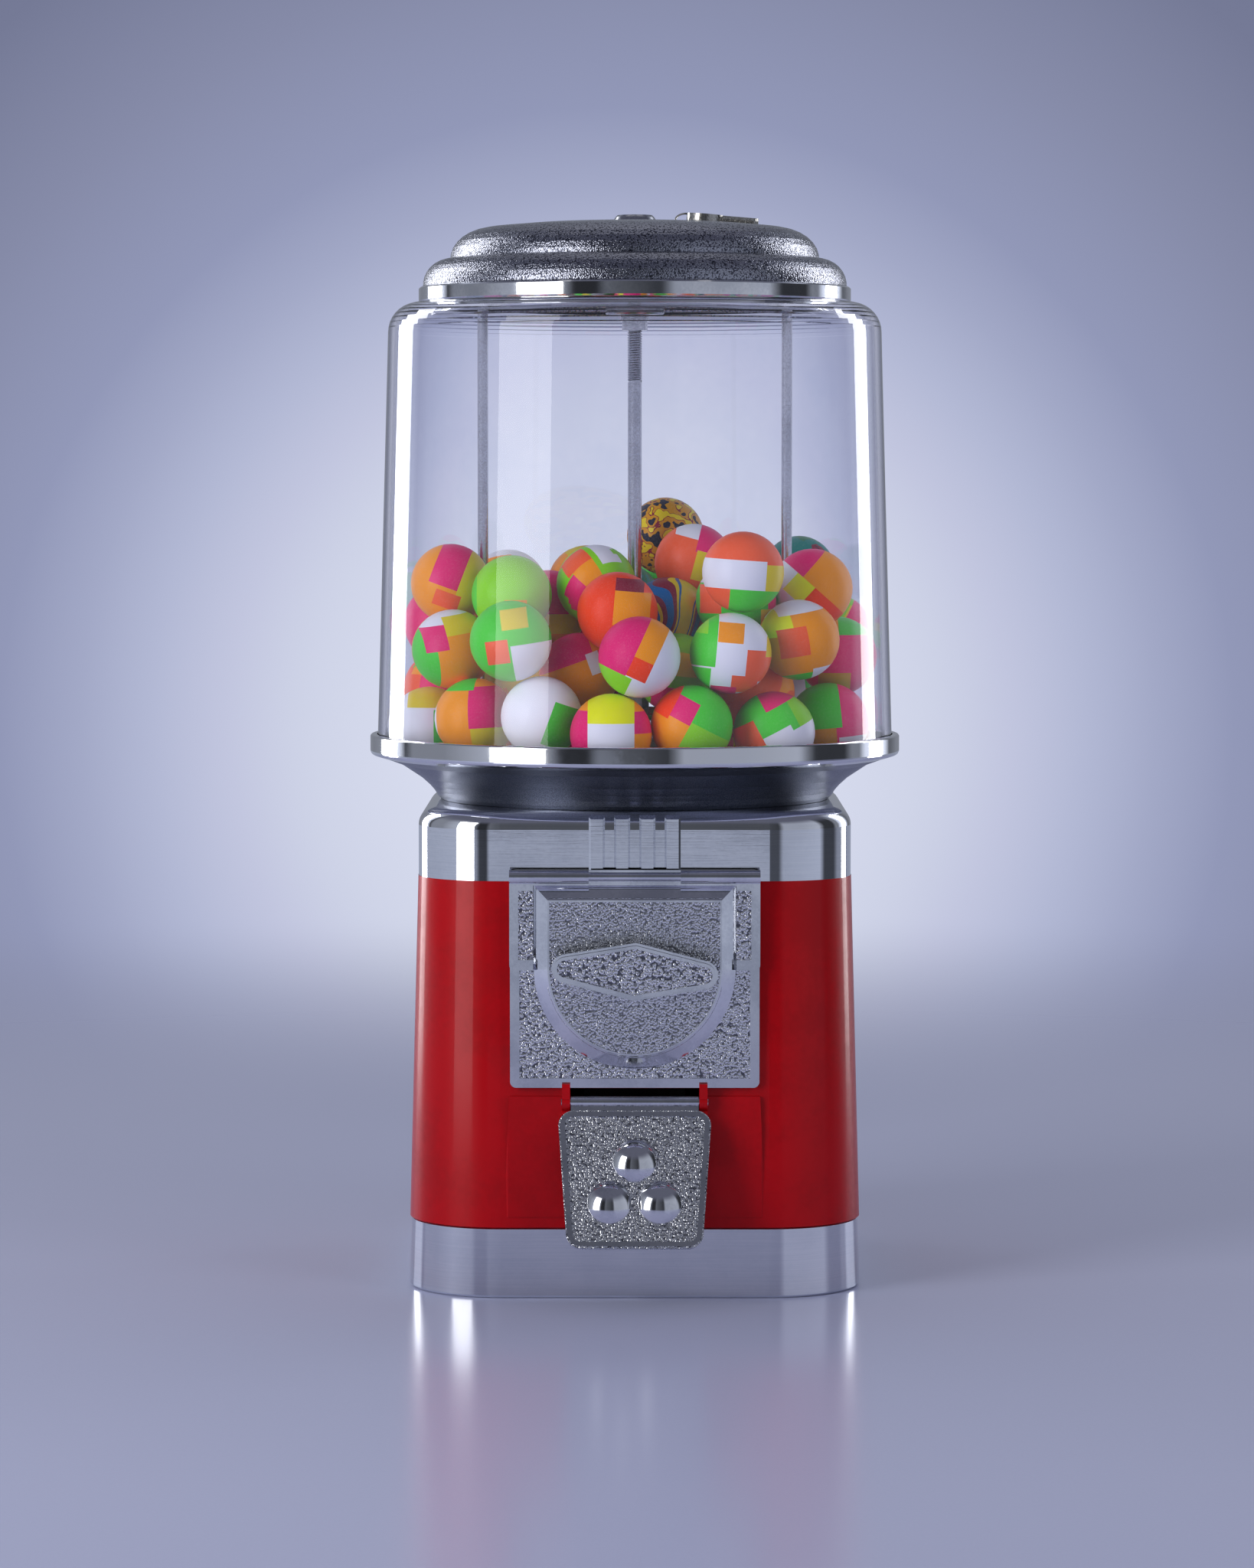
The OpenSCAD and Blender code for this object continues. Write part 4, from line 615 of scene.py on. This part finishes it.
def painted_ball(shape, ground, blocks, marble):
    """One ball, cut along the edges of its blocks so that each colour ends on a clean line."""
    bm = bmesh.new()
    paint = bm.loops.layers.float_color.new("paint")
    kind = bm.loops.layers.float.new("marble")
    bm.from_mesh(shape)
    edges = {(axis, edge) for block in blocks for axis, edge in zip((0, 0, 2, 2), block)
             if abs(edge) < 1}
    for axis, edge in sorted(edges):
        normal = Vector([float(k == axis) for k in range(3)])
        geometry = bm.verts[:] + bm.edges[:] + bm.faces[:]
        bmesh.ops.bisect_plane(bm, geom=geometry, dist=0.02 * MM,
                               plane_co=normal * edge * BALL_RADIUS, plane_no=normal)
    for vert in bm.verts:
        vert.co = vert.co.normalized() * BALL_RADIUS
    smooth(bm)
    for face in bm.faces:
        colour = paint_of(face.calc_center_median().normalized(), ground, blocks)
        for loop in face.loops:
            loop[paint] = colour
            loop[kind] = marble
    return bm


def nearest(centre, places):
    """The number of the place in mm that is closest to a ball's middle, if one is within reach."""
    gap, found = min(((Vector(place) * MM - centre).length, k) for k, place in enumerate(places))
    return found if gap < MATCH_REACH else None


def heap(name, node, body, finish, seed):
    """Balls in place of a CAD node's, each painted in blocks."""
    pick = random.Random(seed)
    shape = ball_shape()
    bm = bmesh.new()
    known_places, marbled_places = [look[0] for look in LOOKS], list(MARBLED)
    middles = centres_of(node)
    middles.sort(key=lambda c: (round(c.z, 4), round(c.x, 4), round(c.y, 4)))
    for centre in middles:
        lie, ground, blocks = random_look(pick)
        known = nearest(centre, known_places)
        if known is not None:
            lie, ground, blocks = LOOKS[known][1:]
        mixed = nearest(centre, marbled_places)
        marble = 0.0 if mixed is None else float(MARBLED[marbled_places[mixed]])
        ball = painted_ball(shape, ground, [] if marble else blocks, marble)
        turn = Euler([math.radians(angle) for angle in lie]).to_matrix().to_4x4()
        bmesh.ops.transform(ball, matrix=Matrix.Translation(centre) @ turn, verts=ball.verts[:])
        one = bpy.data.meshes.new("one_ball")
        ball.to_mesh(one)
        ball.free()
        bm.from_mesh(one)
        bpy.data.meshes.remove(one)
    bpy.data.meshes.remove(shape)
    piece_from(bm, name, finish, body, node)


threaded_rod()
small_ring()
heap("bouncy_balls", "balls", "cabinet", painted_rubber("ball_rubber", 0.3), 7)
heap("pocket_bouncy_balls", "pocket_balls", "wheel",
     painted_rubber("pocket_ball_rubber", 0.32), 19)


# ---------- studio ----------

HALO_MIDDLE = (-0.0035, 0.9987, -0.0516)    # the way to the backdrop's brightest place
HALO_REACH = 0.08
# How the backdrop darkens and pales again: how far off its middle, then the colour
HALO = [(0.0, tone(220, 224, 242)), (0.002, tone(206, 211, 231)), (0.0031, tone(194, 198, 223)),
        (0.0045, tone(178, 184, 212)), (0.006, tone(162, 168, 198)), (0.0078, tone(146, 152, 184)),
        (0.012, tone(134, 139, 168)), (0.0175, tone(117, 122, 150)), (0.026, tone(114, 119, 147)),
        (0.08, tone(186, 190, 212))]
# What stands round the machine, as metal shows it: degrees from the front, + to the right, and
# how bright
FLATS = [(-180, 0.3), (-158, 0.25), (-145, 0.3), (-143, 1.0), (-123, 1.0), (-118, 0.04),
         (-112, 0.28), (-90, 0.28), (-65, 0.5), (-38, 0.3), (-32, 0.03), (-20, 0.03), (-15, 0.16),
         (-9, 0.12), (14, 0.05), (17, 0.17), (21, 0.42), (48, 0.42), (75, 0.5), (79, 0.25),
         (84, 0.04), (103, 0.04), (108, 0.25), (114, 0.25), (119, 1.0), (139, 1.0), (145, 0.13),
         (158, 0.25), (180, 0.3)]
GROUND = [(-180, 0.4), (-60, 0.5), (-34, 0.3), (-30, 0.06), (-20, 0.05), (-16, 0.42), (2, 0.42),
          (6, 0.08), (14, 0.08), (20, 0.42), (76, 0.5), (84, 0.06), (103, 0.06), (112, 0.3),
          (180, 0.4)]
FLATS_TINT = (0.84, 0.9, 1.06)
GROUND_TINT = (0.8, 0.88, 1.12)
HORIZON = (-0.0652, -0.0638)    # how far up the ground ends and the flats begin
CEILING = (0.45, 0.8)           # how far up the flats end and the ceiling begins
CEILING_TONE = tone(95, 97, 112)


def studio_world():
    """Pale lavender air: a halo behind the machine, and the flats and ground that metal shows."""
    world = bpy.data.worlds.new("studio")
    bpy.context.scene.world = world
    world.use_nodes = True
    tree = world.node_tree
    tree.nodes.clear()
    way = wire(tree, "TexCoord").outputs["Generated"]
    x, y, z = wire(tree, "SeparateXYZ", {0: way}).outputs
    path = wire(tree, "LightPath").outputs
    behind = wire(tree, "VectorMath", {0: way, 1: HALO_MIDDLE},
                  operation="DOT_PRODUCT").outputs["Value"]
    apart = maths(tree, "MULTIPLY", maths(tree, "SUBTRACT", 1.0, behind), 1 / HALO_REACH)
    halo = wire(tree, "ValToRGB", {0: apart})
    fill_ramp(halo.color_ramp.elements, [(place / HALO_REACH, colour) for place, colour in HALO])
    front = maths(tree, "MULTIPLY", y, -1.0)
    azimuth = maths(tree, "DIVIDE", maths(tree, "ARCTAN2", x, front), math.tau)

    def all_round(stops, tint):
        ramp = wire(tree, "ValToRGB", {0: maths(tree, "ADD", azimuth, 0.5)})
        fill_ramp(ramp.color_ramp.elements, [
            ((place + 180) / 360, (*(level * share for share in tint), 1.0))
            for place, level in stops])
        return ramp.outputs[0]

    flats = all_round(FLATS, FLATS_TINT)
    ground = all_round(GROUND, GROUND_TINT)
    sides = mix(tree, ease(tree, z, *HORIZON, 1.0, 0.0), flats, ground)
    seen = mix(tree, ease(tree, z, *CEILING), sides, CEILING_TONE)
    air = wire(tree, "Background", {"Color": tone(208, 211, 230), "Strength": 0.5}).outputs[0]
    mirrored = wire(tree, "Background", {"Color": seen, "Strength": 1.0}).outputs[0]
    pictured = wire(tree, "Background", {"Color": halo.outputs[0], "Strength": 1.0}).outputs[0]
    straight = maths(tree, "MAXIMUM", path["Is Camera Ray"], path["Is Transmission Ray"])
    first = wire(tree, "MixShader", {0: path["Is Glossy Ray"], 1: air, 2: mirrored}).outputs[0]
    both = wire(tree, "MixShader", {0: straight, 1: first, 2: pictured}).outputs[0]
    wire(tree, "OutputWorld", {"Surface": both})


FLOOR_RADIUS = 2.0
FLOOR_FADE = (0.45, 1.6)    # how far out the floor starts to fade, and where it is gone


def studio_floor():
    """A pale, slightly glossy floor that fades into the air around it.
    Gives the collection that keeps lamps from being mirrored in it."""
    f = Finish("studio_floor", IOR=1.45, Specular_IOR_Level=0.12, Roughness=0.2)
    spread = wire(f.tree, "VectorMath", {0: f.place}, operation="LENGTH").outputs["Value"]
    fade = ease(f.tree, spread, *FLOOR_FADE)
    speck = grain(f.tree, f.place, 900.0)
    f.set("Base Color", mix(f.tree, speck, tone(180, 184, 212), tone(176, 180, 209)))
    clear = wire(f.tree, "BsdfTransparent").outputs[0]
    both = wire(f.tree, "MixShader", {0: fade, 1: f.shader.outputs[0], 2: clear}).outputs[0]
    f.tree.links.new(both, f.tree.nodes["Material Output"].inputs["Surface"])
    bm = bmesh.new()
    bmesh.ops.create_circle(bm, cap_ends=True, segments=96, radius=FLOOR_RADIUS)
    bmesh.ops.translate(bm, verts=bm.verts[:], vec=(0, 0, -0.2 * MM))
    mesh = bpy.data.meshes.new("studio_floor")
    bm.to_mesh(mesh)
    bm.free()
    mesh.materials.append(f.material)
    floor = bpy.data.objects.new("studio_floor", mesh)
    bpy.context.scene.collection.objects.link(floor)
    left_out = bpy.data.collections.new("no_lamp_shine")
    left_out.objects.link(floor)
    left_out.collection_objects[0].light_linking.link_state = "EXCLUDE"
    return left_out


# Each lamp: its azimuth, distance, height, width, length, the light that it gives, and how
# bright metal and glass mirror it
LAMPS = {
    "left_box": (-50, 1.5, 0.45, 0.68, 1.5, 5.8, 3.6),
    "right_fill": (50, 1.6, 0.5, 0.7, 1.2, 2.2, 0.0),
    "left_rear_strip": (-131, 1.5, 0.45, 0.46, 1.6, 1.0, 6.0),
    "right_rear_strip": (126, 1.5, 0.45, 0.36, 1.6, 1.4, 6.0),
    "top_box": (180, 0.5, 1.5, 0.9, 0.9, 1.2, 0.3),
}
SHINE_AHEAD = 0.02      # the mirrored lamp is hidden unless it stands before the lighting one
AIM_HEIGHT = 0.25       # a lamp above it looks down to it


def soft_box(name, azimuth, distance, height, width, tall, radiance, shine, no_shine):
    """A soft lamp turned to the machine; azimuth is in degrees from the front, + to the right.
    One lamp lights, and another is mirrored, but not by what no_shine leaves out."""
    turn = math.radians(azimuth)
    place = Vector((distance * math.sin(turn), -distance * math.cos(turn), height))
    aim = Vector((0, 0, min(height, AIM_HEIGHT))) - place
    for lamp_name, mirrored, level, ahead in (
            (name, False, radiance, 0.0), (name + "_shine", True, shine, SHINE_AHEAD)):
        if not level:
            continue
        lamp = bpy.data.lights.new(lamp_name, "AREA")
        lamp.shape = "RECTANGLE"
        lamp.size = width
        lamp.size_y = tall
        lamp.energy = level * math.pi * width * tall
        holder = bpy.data.objects.new(lamp_name, lamp)
        holder.location = place + aim.normalized() * ahead
        holder.rotation_euler = aim.to_track_quat("-Z", "Y").to_euler()
        holder.visible_diffuse = not mirrored
        holder.visible_glossy = mirrored
        holder.visible_transmission = False
        if mirrored:
            holder.light_linking.receiver_collection = no_shine
        bpy.context.scene.collection.objects.link(holder)


CAMERA_PLACE = (0, -2.000, 0.3249)
CAMERA_TILT, CAMERA_PAN = -3.658, 0.091     # degrees: up from level, and to the left


def studio_camera():
    lens = bpy.data.cameras.new("studio_camera")
    lens.sensor_fit = "VERTICAL"
    lens.sensor_height = 36
    lens.lens = 112.3
    lens.clip_start = 0.05
    holder = bpy.data.objects.new("studio_camera", lens)
    holder.location = CAMERA_PLACE
    holder.rotation_euler = (math.radians(90 + CAMERA_TILT), 0, math.radians(CAMERA_PAN))
    bpy.context.scene.collection.objects.link(holder)
    bpy.context.scene.camera = holder


studio_world()
not_mirroring = studio_floor()
for box_name, box_values in LAMPS.items():
    soft_box(box_name, *box_values, not_mirroring)
studio_camera()

bpy.context.scene.view_settings.view_transform = "Standard"
